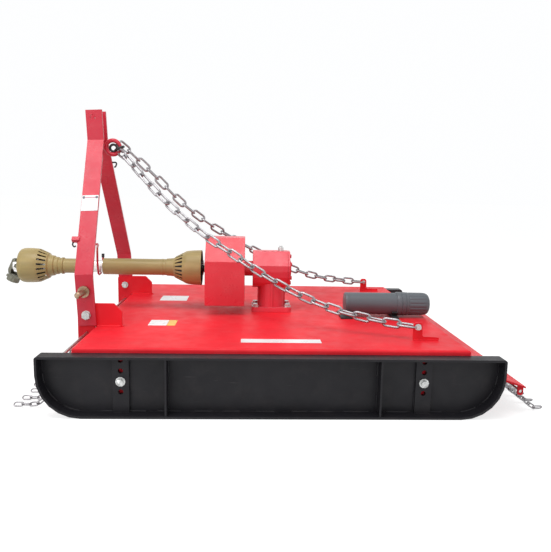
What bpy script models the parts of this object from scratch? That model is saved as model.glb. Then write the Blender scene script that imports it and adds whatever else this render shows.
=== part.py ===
"""Three-point-linkage rotary slasher: deck, skids, mast, gearbox, PTO shaft, chains and rotor.

Metres, +Z up, +X to the rear, +Y to the machine's right-hand side. Every piece is drawn in the deck's
frame: x = 0 at the middle of the deck, y = 0 on the centre line, z = 0 on the ground. The empty named
slasher then carries the whole machine so that its overall box is centred on the origin.
"""
import math

import bmesh
import bpy
from mathutils import Matrix, Vector

# Whole machine
BOX_CENTRE_SHIFT = 0.081
GAP = 0.0003

# Deck: one folded sheet with skirts on all four sides
DECK_LENGTH = 1.207
DECK_WIDTH = 1.200
DECK_TOP = 0.201
DECK_SHEET = 0.005
DECK_FOLD_RADIUS = 0.008
DECK_FRONT_X = -DECK_LENGTH / 2
DECK_REAR_X = DECK_LENGTH / 2
SIDE_SKIRT_BOTTOM = 0.050
FRONT_SKIRT_BOTTOM = 0.150
REAR_SKIRT_BOTTOM = 0.120
ROTOR_HOLE_RADIUS = 0.045

# Skids: rim bar round a web plate, two drilled bars and two gussets on each
SKID_OVERHANG = 0.0935
SKID_LENGTH = DECK_LENGTH + 2 * SKID_OVERHANG
SKID_HEIGHT = 0.186
SKID_RIM_WIDTH = 0.050
SKID_RIM_THICKNESS = 0.007
SKID_WEB = 0.0045
SKID_TOE_RADIUS = 0.130
SKID_TOP_RADIUS = 0.008
SKID_BAR_X = 0.457
SKID_BAR_WIDTH = 0.050
SKID_BAR_THICKNESS = 0.010
SKID_HOLE_RADIUS = 0.008
SKID_HOLE_TOP = 0.168
SKID_HOLE_PITCH = 0.0325
SKID_HOLE_COUNT = 4
SKID_BOLT_HOLE = 2
GUSSET_X = 0.320
GUSSET_THICKNESS = 0.006

# Mast: two bent flat bars that turn on bolts in the hitch brackets
LEG_WIDTH = 0.060
LEG_THICKNESS = 0.010
LEG_FOOT_Y = 0.335
LEG_FOOT_Z = DECK_TOP + 0.005
LEG_LOWER_BEND_Z = LEG_FOOT_Z + 0.174
LEG_UPPER_BEND_Z = LEG_FOOT_Z + 0.640
LEG_TOP_Y = 0.036
LEG_TOP_Z = LEG_FOOT_Z + 0.751
LEG_FOOT_X = DECK_FRONT_X - 0.0220
LEG_LEAN = math.radians(2.9)
MAST_PIVOT = (LEG_FOOT_X - 0.0025, LEG_FOOT_Z + 0.037)
LINK_PIN = (LEG_FOOT_X - 0.0075, LEG_FOOT_Z + 0.118)
TOP_LINK_HOLE = (LEG_FOOT_X - 0.0415, LEG_FOOT_Z + 0.724)
TOP_LINK_HOLE_RADIUS = 0.0100
LINK_PIN_RADIUS = 0.011
LINK_PIN_LENGTH = 0.085
LINK_COLLAR_RADIUS = 0.020
PIVOT_BOLT_RADIUS = 0.010
BRACKET_THICKNESS = 0.010
BRACKET_FRONT_X = DECK_FRONT_X - 0.0565
BRACKET_REAR_X = DECK_FRONT_X + 0.0925
BRACKET_TOP = DECK_TOP + 0.080
BRACKET_BOTTOM = DECK_TOP - 0.091
BRACKET_CHAMFER = 0.027
EYE = (LEG_FOOT_X + 0.0235, LEG_FOOT_Z + 0.616)
EYE_RADIUS = 0.0275
EYE_WIRE_RADIUS = 0.0055

# Gearbox: cast housing, right-angle bevel pair
SHAFT_Z = DECK_TOP + 0.165
GEARBOX_X = 0.011
BOX_FRONT_X = GEARBOX_X - 0.075
BOX_REAR_X = GEARBOX_X + 0.062
BOX_TOP = SHAFT_Z + 0.071
BOX_HALF_WIDTH = 0.070
BOX_SHOULDER_Z = SHAFT_Z + 0.019
BOX_TOP_HALF = 0.028
BOX_WALL = 0.008
FLANGE_LENGTH = 0.156
FLANGE_WIDTH = 0.112
FLANGE_THICKNESS = 0.018
NECK_RADIUS = 0.050
INPUT_BOSS_RADIUS = 0.030
INPUT_BOSS_FRONT = BOX_FRONT_X - 0.031
INPUT_BEARING_RADIUS = 0.0235
OUTPUT_BEARING_RADIUS = 0.0375
FILLER_X = GEARBOX_X + 0.035
FILLER_RADIUS = 0.0066
BASE_BOLT_X = 0.0625
BASE_BOLT_Y = 0.035
BASE_BOLT_RADIUS = 0.007
CROWN_TEETH = 22
PINION_TEETH = 15
GEAR_MODULE = 0.0045
GEAR_FACE_SHARE = 0.30
BACKLASH = 0.0012
SHAFT_RADIUS = 0.0175

# Hood over the rear joint: bent sheet bolted to the gearbox
REAR_JOINT_X = BOX_FRONT_X - 0.156
HOOD_FRONT_X = REAR_JOINT_X - 0.025
HOOD_BOTTOM = SHAFT_Z - 0.129
HOOD_HALF_WIDTH = 0.120
HOOD_SHOULDER_Z = SHAFT_Z + 0.038
HOOD_TOP = SHAFT_Z + 0.123
HOOD_TOP_HALF = 0.040
HOOD_SHEET = 0.004

# PTO shaft
PTO_REACH = 0.3445
FRONT_JOINT_X = LEG_FOOT_X - PTO_REACH
YOKE_DROOP = math.radians(65.0)
YOKE_EAR_OUTER = 0.032
YOKE_EAR_INNER = 0.0225
YOKE_EAR_HALF = 0.0150
YOKE_EAR_OVERHANG = 0.0160
YOKE_BASE = 0.0420
YOKE_COLLAR_RADIUS = 0.0240
TRUNNION_RADIUS = 0.0085
OUTER_TUBE_RADIUS = 0.0232
TUBE_LOBE = 0.0012
TUBE_WALL = 0.0035
OUTER_TUBE_FRONT_X = LEG_FOOT_X - 0.0595
INNER_TUBE_REAR_X = REAR_JOINT_X - 0.120
GUARD_WALL = 0.0025
REAR_GUARD_RADIUS = 0.0315
FRONT_GUARD_RADIUS = 0.0282
REAR_GUARD_FRONT_X = LEG_FOOT_X - 0.0195
FRONT_GUARD_REAR_X = LEG_FOOT_X - 0.0645
BELL_RADIUS = 0.069
FRONT_BELL_RADIUS = 0.067
FRONT_MOUTH_RADIUS = 0.054
REAR_BELL_MOUTH_X = REAR_JOINT_X - 0.052
FRONT_BELL_MOUTH_X = FRONT_JOINT_X + 0.008
CRADLE_WIRE_RADIUS = 0.004
CRADLE_PLAY = 0.0026

# Rotor
ROTOR_CLEARANCE = 0.023
ROTOR_RADIUS = DECK_WIDTH / 2 - DECK_SHEET - ROTOR_CLEARANCE
CARRIER_WIDTH = 0.080
CARRIER_THICKNESS = 0.012
CARRIER_Z = DECK_TOP - 0.083
CARRIER_END = 0.035
BLADE_PIVOT_RADIUS = 0.250
BLADE_WIDTH = 0.070
BLADE_THICKNESS = 0.010
BLADE_BOLT_RADIUS = 0.011
ROTOR_REST_ANGLE = math.radians(35.0)

# Chains
BRACE_WIRE_RADIUS = 0.0040
BRACE_LINK_PITCH = 0.0500
BRACE_LINK_WIDTH = 0.0180
LUG_X = DECK_REAR_X - 0.1325
LUG_Y = DECK_WIDTH / 2 - 0.129
LUG_HEIGHT = 0.058
LUG_HOLE_Z = DECK_TOP + GAP + LUG_HEIGHT - 0.014
CURTAIN_PITCH = 0.0622
CURTAIN_END = 0.012
CURTAIN_ROD_RADIUS = 0.005
CURTAIN_LINK_LENGTH = 0.030
CURTAIN_WIRE_RADIUS = 0.0030
CURTAIN_LINK_WIDTH = 0.0150
CURTAIN_LIE_Z = 0.008
FRONT_CURTAIN_REACH = 0.170
REAR_CURTAIN_REACH = 0.088
FRONT_ROD = (DECK_FRONT_X - 0.0265, DECK_TOP - 0.023)
APRON_REAR_X = DECK_REAR_X + 0.1795
APRON_REAR_Z = 0.088
REAR_ROD = (APRON_REAR_X - 0.011, APRON_REAR_Z - 0.018)
RAIL_TAB_Y = 0.280
RAIL_TAB_END = 0.0125
RAIL_TAB_THICKNESS = 0.006

# Document tube
DOC_Y = -0.105
DOC_RADIUS = 0.0415
DOC_Z = DECK_TOP + DOC_RADIUS + 0.0085
DOC_END_X = DECK_REAR_X + 0.0095
DOC_CAP_X = DOC_END_X - 0.093
DOC_COLLAR_X = DOC_CAP_X - 0.030
DOC_FRONT_X = DOC_COLLAR_X - 0.202
DOC_WALL = 0.003

COLOURS = {
    "deck_red": ((0.72, 0.03, 0.04), 0.35, 0.0),
    "mast_red": ((0.62, 0.04, 0.06), 0.35, 0.0),
    "gearbox_red": ((0.66, 0.06, 0.09), 0.45, 0.0),
    "skid_black": ((0.025, 0.025, 0.027), 0.45, 0.0),
    "zinc": ((0.62, 0.62, 0.60), 0.35, 0.9),
    "bare_steel": ((0.42, 0.42, 0.40), 0.40, 0.9),
    "guard_yellow": ((0.40, 0.26, 0.09), 0.45, 0.0),
    "tube_grey": ((0.10, 0.11, 0.12), 0.50, 0.0),
    "saddle_black": ((0.02, 0.02, 0.02), 0.55, 0.0),
    "chain_steel": ((0.55, 0.55, 0.55), 0.35, 0.9),
    "gear_steel": ((0.35, 0.35, 0.36), 0.30, 1.0),
}

for old in list(bpy.data.objects):
    bpy.data.objects.remove(old, do_unlink=True)

parts = bpy.data.collections.new("tractor_slasher")
bpy.context.scene.collection.children.link(parts)
cutters = bpy.data.collections.new("cutters")
bpy.context.scene.collection.children.link(cutters)

machine = bpy.data.objects.new("slasher", None)
machine.location = (BOX_CENTRE_SHIFT, 0.0, 0.0)
parts.objects.link(machine)


def axis_empty(name, place):
    """An empty on a joint's axis: the pieces of that moving body are parented to it."""
    empty = bpy.data.objects.new(name, None)
    empty.location = place
    empty.parent = machine
    parts.objects.link(empty)
    return empty


def material(slot):
    """The Principled material of one finish, made once."""
    if slot in bpy.data.materials:
        return bpy.data.materials[slot]
    colour, roughness, metallic = COLOURS[slot]
    made = bpy.data.materials.new(slot)
    made.use_nodes = True
    shader = made.node_tree.nodes["Principled BSDF"]
    shader.inputs["Base Color"].default_value = (*colour, 1.0)
    shader.inputs["Roughness"].default_value = roughness
    shader.inputs["Metallic"].default_value = metallic
    return made


def keep(obj, slot, body=None, smooth=None):
    """Make an object one of the machine's pieces: its finish, its body and its shading."""
    for group in list(obj.users_collection):
        group.objects.unlink(obj)
    parts.objects.link(obj)
    obj.data.materials.clear()
    obj.data.materials.append(material(slot))
    carrier = body or machine
    obj.parent = carrier
    if body is not None:
        obj.matrix_parent_inverse = Matrix.Translation(-body.location)
    if smooth and obj.type == "MESH":
        obj.data.shade_smooth()
        obj.data.set_sharp_from_angle(angle=math.radians(smooth))
    return obj


def tool(obj):
    """Put an object among the cutters, out of the renders."""
    for group in list(obj.users_collection):
        group.objects.unlink(obj)
    cutters.objects.link(obj)
    obj.parent = machine
    obj.hide_render = True
    obj.display_type = "WIRE"
    return obj


def combine(obj, other, operation):
    """A Boolean with another object, which becomes a tool."""
    boolean = obj.modifiers.new(other.name, "BOOLEAN")
    boolean.operation = operation
    boolean.solver = "EXACT"
    boolean.object = tool(other)
    return obj


def cut(obj, other):
    return combine(obj, other, "DIFFERENCE")


def weld(obj, other):
    return combine(obj, other, "UNION")


def mesh_object(name, bm):
    mesh = bpy.data.meshes.new(name)
    bm.to_mesh(mesh)
    bm.free()
    obj = bpy.data.objects.new(name, mesh)
    cutters.objects.link(obj)
    return obj


def block(name, low, high, bevel=0.0):
    """A box between two corners, standing at its own middle."""
    bm = bmesh.new()
    bmesh.ops.create_cube(bm, size=1.0)
    size = [b - a for a, b in zip(low, high)]
    bmesh.ops.scale(bm, vec=size, verts=bm.verts)
    obj = mesh_object(name, bm)
    obj.location = [(a + b) / 2 for a, b in zip(low, high)]
    if bevel:
        edge = obj.modifiers.new("edge", "BEVEL")
        edge.width = bevel
        edge.segments = 2
        edge.limit_method = "ANGLE"
    return obj


def round_bar(name, start, end, radius, sides=16, end_radius=None):
    """A cylinder, or a cone, between two points."""
    start, end = Vector(start), Vector(end)
    along = end - start
    bm = bmesh.new()
    bmesh.ops.create_cone(bm, cap_ends=True, segments=sides, radius1=radius,
                          radius2=radius if end_radius is None else end_radius, depth=along.length)
    obj = mesh_object(name, bm)
    obj.location = (start + end) / 2
    obj.rotation_euler = along.to_track_quat("Z", "Y").to_euler()
    return obj


def as_mesh(curve_obj):
    """The mesh of a curve object, with its caps welded, in the same place."""
    bpy.context.view_layer.update()
    graph = bpy.context.evaluated_depsgraph_get()
    mesh = bpy.data.meshes.new_from_object(curve_obj.evaluated_get(graph))
    bm = bmesh.new()
    bm.from_mesh(mesh)
    bmesh.ops.remove_doubles(bm, verts=bm.verts, dist=0.00002)
    bmesh.ops.dissolve_limit(bm, angle_limit=math.radians(0.5), verts=bm.verts, edges=bm.edges)
    bmesh.ops.recalc_face_normals(bm, faces=bm.faces)
    bm.to_mesh(mesh)
    bm.free()
    obj = bpy.data.objects.new(curve_obj.name, mesh)
    obj.matrix_world = curve_obj.matrix_world
    name = curve_obj.name
    bpy.data.objects.remove(curve_obj, do_unlink=True)
    obj.name = name
    cutters.objects.link(obj)
    return obj


def flat_plate(name, outlines, thickness, plane, offset):
    """A plate cut from one outline and its holes, with its middle plane at the offset.

    plane "xz" puts the outline's two values on X and Z, "yz" on Y and Z, "xy" on X and Y.
    """
    curve = bpy.data.curves.new(name, "CURVE")
    curve.dimensions = "2D"
    curve.fill_mode = "BOTH"
    curve.extrude = thickness / 2
    for outline in outlines:
        spline = curve.splines.new("POLY")
        spline.points.add(len(outline) - 1)
        for point, (u, v) in zip(spline.points, outline):
            point.co = (u, v, 0.0, 1.0)
        spline.use_cyclic_u = True
    obj = bpy.data.objects.new(name, curve)
    cutters.objects.link(obj)
    if plane == "xz":
        obj.rotation_euler = (math.pi / 2, 0.0, 0.0)
        obj.location = (0.0, offset, 0.0)
    elif plane == "yz":
        obj.rotation_euler = (math.pi / 2, 0.0, math.pi / 2)
        obj.location = (offset, 0.0, 0.0)
    else:
        obj.location = (0.0, 0.0, offset)
    return as_mesh(obj)


def clear(radius, sides):
    """Radius of a faceted hole whose flats still clear a round piece of the radius."""
    return (radius + GAP) / math.cos(math.pi / sides)


def circle(centre, radius, count=16):
    return [(centre[0] + radius * math.cos(2 * math.pi * i / count),
             centre[1] + radius * math.sin(2 * math.pi * i / count)) for i in range(count)]


def rounded(corners, radii, steps=4):
    """An outline with its corners rounded: one radius for each corner, 0 leaves it sharp."""
    points = []
    count = len(corners)
    for i, radius in enumerate(radii):
        before = Vector(corners[i - 1])
        corner = Vector(corners[i])
        after = Vector(corners[(i + 1) % count])
        if radius <= 0.0:
            points.append(tuple(corner))
            continue
        inward = (before - corner).normalized()
        onward = (after - corner).normalized()
        half = inward.angle(onward) / 2
        centre = corner + (inward + onward).normalized() * (radius / math.sin(half))
        first = corner + inward * (radius / math.tan(half)) - centre
        last = corner + onward * (radius / math.tan(half)) - centre
        turn = first.angle_signed(last)
        for k in range(steps + 1):
            angle = -turn * k / steps
            spoke = Matrix.Rotation(angle, 2) @ first
            points.append(tuple(centre + spoke))
    return points


def wire(name, points, radius, resolution=2, closed=False):
    """Round wire along points."""
    curve = bpy.data.curves.new(name, "CURVE")
    curve.dimensions = "3D"
    curve.bevel_depth = radius
    curve.bevel_resolution = resolution
    curve.use_fill_caps = True
    spline = curve.splines.new("POLY")
    spline.points.add(len(points) - 1)
    for point, place in zip(spline.points, points):
        point.co = (*place, 1.0)
    spline.use_cyclic_u = closed
    obj = bpy.data.objects.new(name, curve)
    cutters.objects.link(obj)
    return as_mesh(obj)


def turned(name, profile, start, towards, steps=24):
    """A turned solid: profile points are (distance along the axis, radius), from the first end."""
    mesh = bpy.data.meshes.new(name)
    bm = bmesh.new()
    verts = [bm.verts.new((radius, 0.0, -along)) for along, radius in profile]
    for a, b in zip(verts, verts[1:]):
        bm.edges.new((a, b))
    if profile[0][1] > 0.0:
        bm.edges.new((verts[-1], verts[0]))
    bm.to_mesh(mesh)
    bm.free()
    obj = bpy.data.objects.new(name, mesh)
    cutters.objects.link(obj)
    screw = obj.modifiers.new("turn", "SCREW")
    screw.axis = "Z"
    screw.steps = steps
    screw.render_steps = steps
    screw.use_merge_vertices = True
    screw.merge_threshold = 0.00001
    screw.use_smooth_shade = False
    obj.location = start
    obj.rotation_euler = (-Vector(towards)).to_track_quat("Z", "Y").to_euler()
    return obj


# The moving bodies' axes
mast_axis = axis_empty("mast_axis", (MAST_PIVOT[0], 0.0, MAST_PIVOT[1]))
input_axis = axis_empty("input_axis", (REAR_JOINT_X, 0.0, SHAFT_Z))
rotor_axis = axis_empty("rotor_axis", (GEARBOX_X, 0.0, CARRIER_Z))
lift_axis = axis_empty("pto_lift_axis", (REAR_JOINT_X, 0.0, SHAFT_Z))
telescope_axis = axis_empty("pto_telescope_axis", (FRONT_JOINT_X, 0.0, SHAFT_Z))
outer_shaft_axis = axis_empty("outer_shaft_axis", (REAR_JOINT_X, 0.0, SHAFT_Z))
inner_shaft_axis = axis_empty("inner_shaft_axis", (FRONT_JOINT_X, 0.0, SHAFT_Z))
front_cross_axis = axis_empty("front_cross_axis", (FRONT_JOINT_X, 0.0, SHAFT_Z))
end_yoke_axis = axis_empty("end_yoke_axis", (FRONT_JOINT_X, 0.0, SHAFT_Z))
front_curtain_axis = axis_empty("front_curtain_axis", (FRONT_ROD[0], 0.0, FRONT_ROD[1]))
rear_curtain_axis = axis_empty("rear_curtain_axis", (REAR_ROD[0], 0.0, REAR_ROD[1]))
cap_axis = axis_empty("document_cap_axis", (DOC_CAP_X, DOC_Y, DOC_Z))


def deck():
    """Top sheet with skirts folded down, open underneath, with the gearbox hole in the middle."""
    half_x, half_y = DECK_LENGTH / 2, DECK_WIDTH / 2
    shell = block("deck", (-half_x, -half_y, SIDE_SKIRT_BOTTOM), (half_x, half_y, DECK_TOP))
    fold = shell.modifiers.new("fold", "BEVEL")
    fold.width = DECK_FOLD_RADIUS
    fold.segments = 3
    fold.limit_method = "WEIGHT"
    weights = shell.data.attributes.new("bevel_weight_edge", "FLOAT", "EDGE")
    middle = (SIDE_SKIRT_BOTTOM + DECK_TOP) / 2
    for edge in shell.data.edges:
        heights = [shell.data.vertices[v].co.z + middle for v in edge.vertices]
        weights.data[edge.index].value = 1.0 if min(heights) > middle else 0.0
    wall = DECK_SHEET
    cut(shell, block("deck_inside", (-half_x + wall, -half_y + wall, 0.0),
                     (half_x - wall, half_y - wall, DECK_TOP - wall)))
    cut(shell, block("front_opening", (-half_x - wall, -half_y + wall, 0.0),
                     (-half_x + 2 * wall, half_y - wall, FRONT_SKIRT_BOTTOM)))
    cut(shell, block("rear_opening", (half_x - 2 * wall, -half_y + wall, 0.0),
                     (half_x + wall, half_y - wall, REAR_SKIRT_BOTTOM)))
    cut(shell, round_bar("rotor_hole", (GEARBOX_X, 0.0, DECK_TOP - 4 * wall),
                         (GEARBOX_X, 0.0, DECK_TOP + wall), ROTOR_HOLE_RADIUS, 24))
    keep(shell, "deck_red")


def skid_outline(inset):
    """The skid's side view, drawn in from its edge by the inset."""
    end, top = SKID_LENGTH / 2 - inset, SKID_HEIGHT - inset
    corners = [(-end, inset), (end, inset), (end, top), (-end, top)]
    toe = SKID_TOE_RADIUS - inset
    upper = max(SKID_TOP_RADIUS - inset, 0.002)
    return rounded(corners, [toe, toe, upper, upper], 6)


def skid(side, name):
    """Rim bar bent all round a web plate, with the drilled bars and gussets welded in."""
    inner = side * (DECK_WIDTH / 2 + GAP)
    outer = side * (DECK_WIDTH / 2 + GAP + SKID_RIM_WIDTH)
    rim = flat_plate(name, [skid_outline(0.0), skid_outline(SKID_RIM_THICKNESS)], SKID_RIM_WIDTH,
                     "xz", (inner + outer) / 2)
    overlap = SKID_RIM_THICKNESS / 2
    web = flat_plate(name + "_web", [skid_outline(overlap)], SKID_WEB, "xz",
                     inner + side * SKID_WEB / 2)
    weld(rim, web)
    low, high = overlap, SKID_HEIGHT - overlap
    web_face = inner + side * SKID_WEB / 2
    bar_face = inner + side * (SKID_WEB + SKID_BAR_THICKNESS)
    rim_edge = outer - side * 0.002
    for end in (-1, 1):
        ys = sorted((web_face, bar_face))
        weld(rim, block(f"{name}_bar", (end * SKID_BAR_X - SKID_BAR_WIDTH / 2, ys[0], low),
                        (end * SKID_BAR_X + SKID_BAR_WIDTH / 2, ys[1], high)))
        ys = sorted((web_face, rim_edge))
        weld(rim, block(f"{name}_gusset", (end * GUSSET_X - GUSSET_THICKNESS / 2, ys[0], low),
                        (end * GUSSET_X + GUSSET_THICKNESS / 2, ys[1], high)))
    for end in (-1, 1):
        for k in range(SKID_HOLE_COUNT):
            z = SKID_HOLE_TOP - SKID_HOLE_PITCH * k
            cut(rim, round_bar(f"{name}_hole", (end * SKID_BAR_X, inner - side * 0.01, z),
                               (end * SKID_BAR_X, bar_face + side * 0.01, z), SKID_HOLE_RADIUS, 8))
    keep(rim, "skid_black")
    for end, where in ((-1, "front"), (1, "rear")):
        z = SKID_HOLE_TOP - SKID_HOLE_PITCH * SKID_BOLT_HOLE
        grip = abs(bar_face - inner)
        profile = [(GAP, 0.0), (GAP, 0.015), (GAP + 0.003, 0.015), (GAP + 0.003, 0.0105),
                   (GAP + 0.014, 0.0105), (GAP + 0.019, 0.0)]
        head = turned(f"skid_bolt_{where}_{name[5:]}", profile, (end * SKID_BAR_X, bar_face, z),
                      (0, side, 0), 10)
        weld(head, round_bar("bolt_shank", (end * SKID_BAR_X, bar_face + side * 0.006, z),
                             (end * SKID_BAR_X, bar_face - side * (grip - 0.001), z),
                             SKID_HOLE_RADIUS - GAP, 8))
        keep(head, "zinc", smooth=30)


def leg_path():
    """Middle line of a leg, seen from the front: (y, z) from the foot to the top."""
    inset = LEG_THICKNESS / 2
    return [(LEG_FOOT_Y - inset, LEG_FOOT_Z), (LEG_FOOT_Y - inset, LEG_LOWER_BEND_Z),
            (LEG_TOP_Y - inset, LEG_UPPER_BEND_Z), (LEG_TOP_Y - inset, LEG_TOP_Z)]


def leg_section():
    """The leg's front view: the bent bar's two faces."""
    path = [Vector(p) for p in leg_path()]
    normals = []
    for a, b in zip(path, path[1:]):
        along = (b - a).normalized()
        normals.append(Vector((along.y, -along.x)))
    outer, inner = [], []
    for i, point in enumerate(path):
        near = normals[max(i - 1, 0)]
        far = normals[min(i, len(normals) - 1)]
        mitre = (near + far).normalized()
        reach = LEG_THICKNESS / 2 / mitre.dot(near)
        outer.append(tuple(point + mitre * reach))
        inner.append(tuple(point - mitre * reach))
    return outer + inner[::-1]


def mast_x(z):
    """Middle of the leaning legs at a height."""
    return LEG_FOOT_X - math.tan(LEG_LEAN) * (z - LEG_FOOT_Z)


def mast_leg(side, name):
    """Flat bar with two bends; it leans forward a little and carries the lower link pin's hole."""
    leg = flat_plate(name, [[(side * y, z - LEG_FOOT_Z) for y, z in leg_section()]], LEG_WIDTH, "yz", 0.0)
    leg.matrix_world = (Matrix.Translation((LEG_FOOT_X, 0.0, LEG_FOOT_Z))
                        @ Matrix.Rotation(-LEG_LEAN, 4, "Y") @ Matrix.Rotation(math.pi / 2, 4, "Z")
                        @ Matrix.Rotation(math.pi / 2, 4, "X"))
    span = (side * (LEG_FOOT_Y - LEG_THICKNESS * 2), side * (LEG_FOOT_Y + LEG_THICKNESS))
    for (x, z), radius in ((MAST_PIVOT, PIVOT_BOLT_RADIUS), (LINK_PIN, LINK_PIN_RADIUS)):
        cut(leg, round_bar(name + "_hole", (x, span[0], z), (x, span[1], z), clear(radius, 12), 12))
    x, z = TOP_LINK_HOLE
    cut(leg, round_bar(name + "_top_hole", (x, side * 0.01, z), (x, side * 0.06, z),
                       TOP_LINK_HOLE_RADIUS, 12))
    keep(leg, "mast_red", mast_axis)


def hitch_bracket(side, name):
    """Plate inside the leg, chamfered at the top rear corner and stepped over the deck's edge."""
    edge = -DECK_LENGTH / 2 - GAP
    deck = DECK_TOP + GAP
    outline = [(BRACKET_FRONT_X, BRACKET_BOTTOM), (edge, BRACKET_BOTTOM), (edge, deck),
               (BRACKET_REAR_X, deck), (BRACKET_REAR_X, BRACKET_TOP - BRACKET_CHAMFER),
               (BRACKET_REAR_X - BRACKET_CHAMFER, BRACKET_TOP), (BRACKET_FRONT_X, BRACKET_TOP)]
    hole = circle(MAST_PIVOT, clear(PIVOT_BOLT_RADIUS, 12), 12)
    rod = circle(FRONT_ROD, clear(CURTAIN_ROD_RADIUS, 10), 10)
    middle = LEG_FOOT_Y - LEG_THICKNESS - GAP - BRACKET_THICKNESS / 2
    plate = flat_plate(name, [rounded(outline, [0.012, 0, 0, 0, 0.004, 0.004, 0.010], 3), hole, rod],
                       BRACKET_THICKNESS, "xz", side * middle)
    keep(plate, "deck_red")


def hex_bolt(name, start, towards, grip, radius, head, slot, body=None, washer=0.0):
    """Bolt from under its head at the start, with a nut past the grip, as one piece."""
    start, towards = Vector(start), Vector(towards).normalized()
    washer = washer or head * 1.25
    bolt = turned(name, [(-0.0030, 0.0), (-0.0030, washer), (-GAP, washer), (-GAP, radius),
                         (grip + GAP, radius), (grip + GAP, head), (grip + 0.010, head),
                         (grip + 0.010, radius), (grip + 0.016, radius * 0.9), (grip + 0.016, 0.0)],
                  start, towards, 8)
    weld(bolt, round_bar(name + "_head", start - towards * 0.0025, start - towards * 0.013, head, 6))
    return keep(bolt, slot, body, smooth=30)


def pivot_bolt(side, name):
    """Pivot bolt of a leg: head outside the leg, nut inside the bracket."""
    grip = LEG_THICKNESS + BRACKET_THICKNESS + GAP
    hex_bolt(name, (MAST_PIVOT[0], side * LEG_FOOT_Y, MAST_PIVOT[1]), (0, -side, 0), grip,
             PIVOT_BOLT_RADIUS, 0.0145, "zinc", washer=0.016)


def link_pin(side, name):
    """Category 1 lower link pin with its collar outside the leg and a nut inside."""
    face = LEG_FOOT_Y + GAP
    inner = LEG_THICKNESS + 2 * GAP
    tip = LINK_PIN_LENGTH
    pin = turned(name, [(-inner - 0.014, 0.0), (-inner - 0.014, 0.016), (-inner, 0.016),
                        (-inner, LINK_PIN_RADIUS), (0.0, LINK_PIN_RADIUS), (0.0, LINK_COLLAR_RADIUS),
                        (0.012, LINK_COLLAR_RADIUS), (0.012, LINK_PIN_RADIUS),
                        (tip - 0.006, LINK_PIN_RADIUS), (tip, LINK_PIN_RADIUS * 0.6), (tip, 0.0)],
                 (LINK_PIN[0], side * face, LINK_PIN[1]), (0, side, 0), 12)
    y = side * (face + tip - 0.018)
    cut(pin, round_bar("lynch_hole", (LINK_PIN[0], y, LINK_PIN[1] - 0.03),
                       (LINK_PIN[0], y, LINK_PIN[1] + 0.03), 0.0055, 8))
    keep(pin, "zinc", mast_axis, smooth=30)


def chain_eye():
    """Bent bar welded between the two top plates, a loop to the rear that both chains hook in."""
    gap_half = LEG_TOP_Y - LEG_THICKNESS - GAP
    x, z = EYE
    ring = [(x + EYE_RADIUS * math.cos(a), 0.0, z + EYE_RADIUS * math.sin(a))
            for a in [2 * math.pi * i / 14 for i in range(14)]]
    eye = wire("mast_chain_eye", ring, EYE_WIRE_RADIUS, 1, closed=True)
    front = mast_x(z)
    bar = round_bar("eye_bar", (front, -gap_half, z), (front, gap_half, z), 0.011, 12)
    weld(eye, bar)
    weld(eye, round_bar("eye_root", (front, 0.0, z), (x - EYE_RADIUS, 0.0, z), 0.008, 8))
    keep(eye, "mast_red", mast_axis, smooth=40)


def smooth_path(points, steps):
    """A Catmull-Rom curve through points."""
    ends = [Vector(p) for p in points]
    ends = [ends[0] * 2 - ends[1]] + ends + [ends[-1] * 2 - ends[-2]]
    path = []
    for i in range(1, len(ends) - 2):
        a, b, c, d = ends[i - 1:i + 3]
        for k in range(steps):
            t = k / steps
            path.append(tuple(0.5 * (2 * b + (c - a) * t + (2 * a - 5 * b + 4 * c - d) * t * t
                                     + (3 * b - a - 3 * c + d) * t ** 3)))
    path.append(tuple(ends[-2]))
    return path


def leg_inner_y(z):
    """How far out the inner face of a leg's sloping part is at a height."""
    (low_y, low_z), (high_y, high_z) = leg_path()[1:3]
    slope = (low_y - high_y) / (high_z - low_z)
    return low_y - slope * (z - low_z) - LEG_THICKNESS / 2 * math.hypot(1.0, slope)


def cradle_hook():
    """Bent rod on the left leg's inner face: its curl stands in front, its hook holds the shaft."""
    bare = OUTER_TUBE_RADIUS + TUBE_LOBE + CRADLE_PLAY
    low = SHAFT_Z - bare - CRADLE_WIRE_RADIUS
    beside = CRADLE_WIRE_RADIUS * 1.7 + GAP
    on_leg = ((-0.0465, 0.134), (-0.0535, 0.123), (-0.0445, 0.112), (-0.0195, 0.110), (0.0105, 0.110))
    route = [(LEG_FOOT_X + x, beside - leg_inner_y(SHAFT_Z + z), SHAFT_Z + z) for x, z in on_leg]
    arm = ((0.0125, -0.225, 0.108), (0.0035, -0.180, 0.101), (-0.0145, -0.120, 0.084),
           (-0.0265, -0.072, 0.054), (-0.0315, -0.052, 0.014))
    route += [(LEG_FOOT_X + x, y, SHAFT_Z + z) for x, y, z in arm]
    curl = ((-0.0345, -0.030, 0.006), (-0.0355, 0.0, 0.0), (-0.0365, 0.034, 0.008))
    route += [(LEG_FOOT_X + x, y, low + z) for x, y, z in curl]
    tip = LEG_FOOT_X - 0.0365
    route += [(tip, 0.053, SHAFT_Z + 0.006), (tip, 0.058, SHAFT_Z + 0.038)]
    hook = wire("pto_cradle_hook", smooth_path(route, 2), CRADLE_WIRE_RADIUS, 0)
    keep(hook, "mast_red", mast_axis, smooth=40)


deck()
for side, hand in ((-1, "left"), (1, "right")):
    skid(side, "skid_" + hand)
    hitch_bracket(side, "hitch_bracket_" + hand)
    pivot_bolt(side, "mast_pivot_bolt_" + hand)
    mast_leg(side, "mast_leg_" + hand)
    link_pin(side, "lower_link_pin_" + hand)
chain_eye()
cradle_hook()


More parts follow.
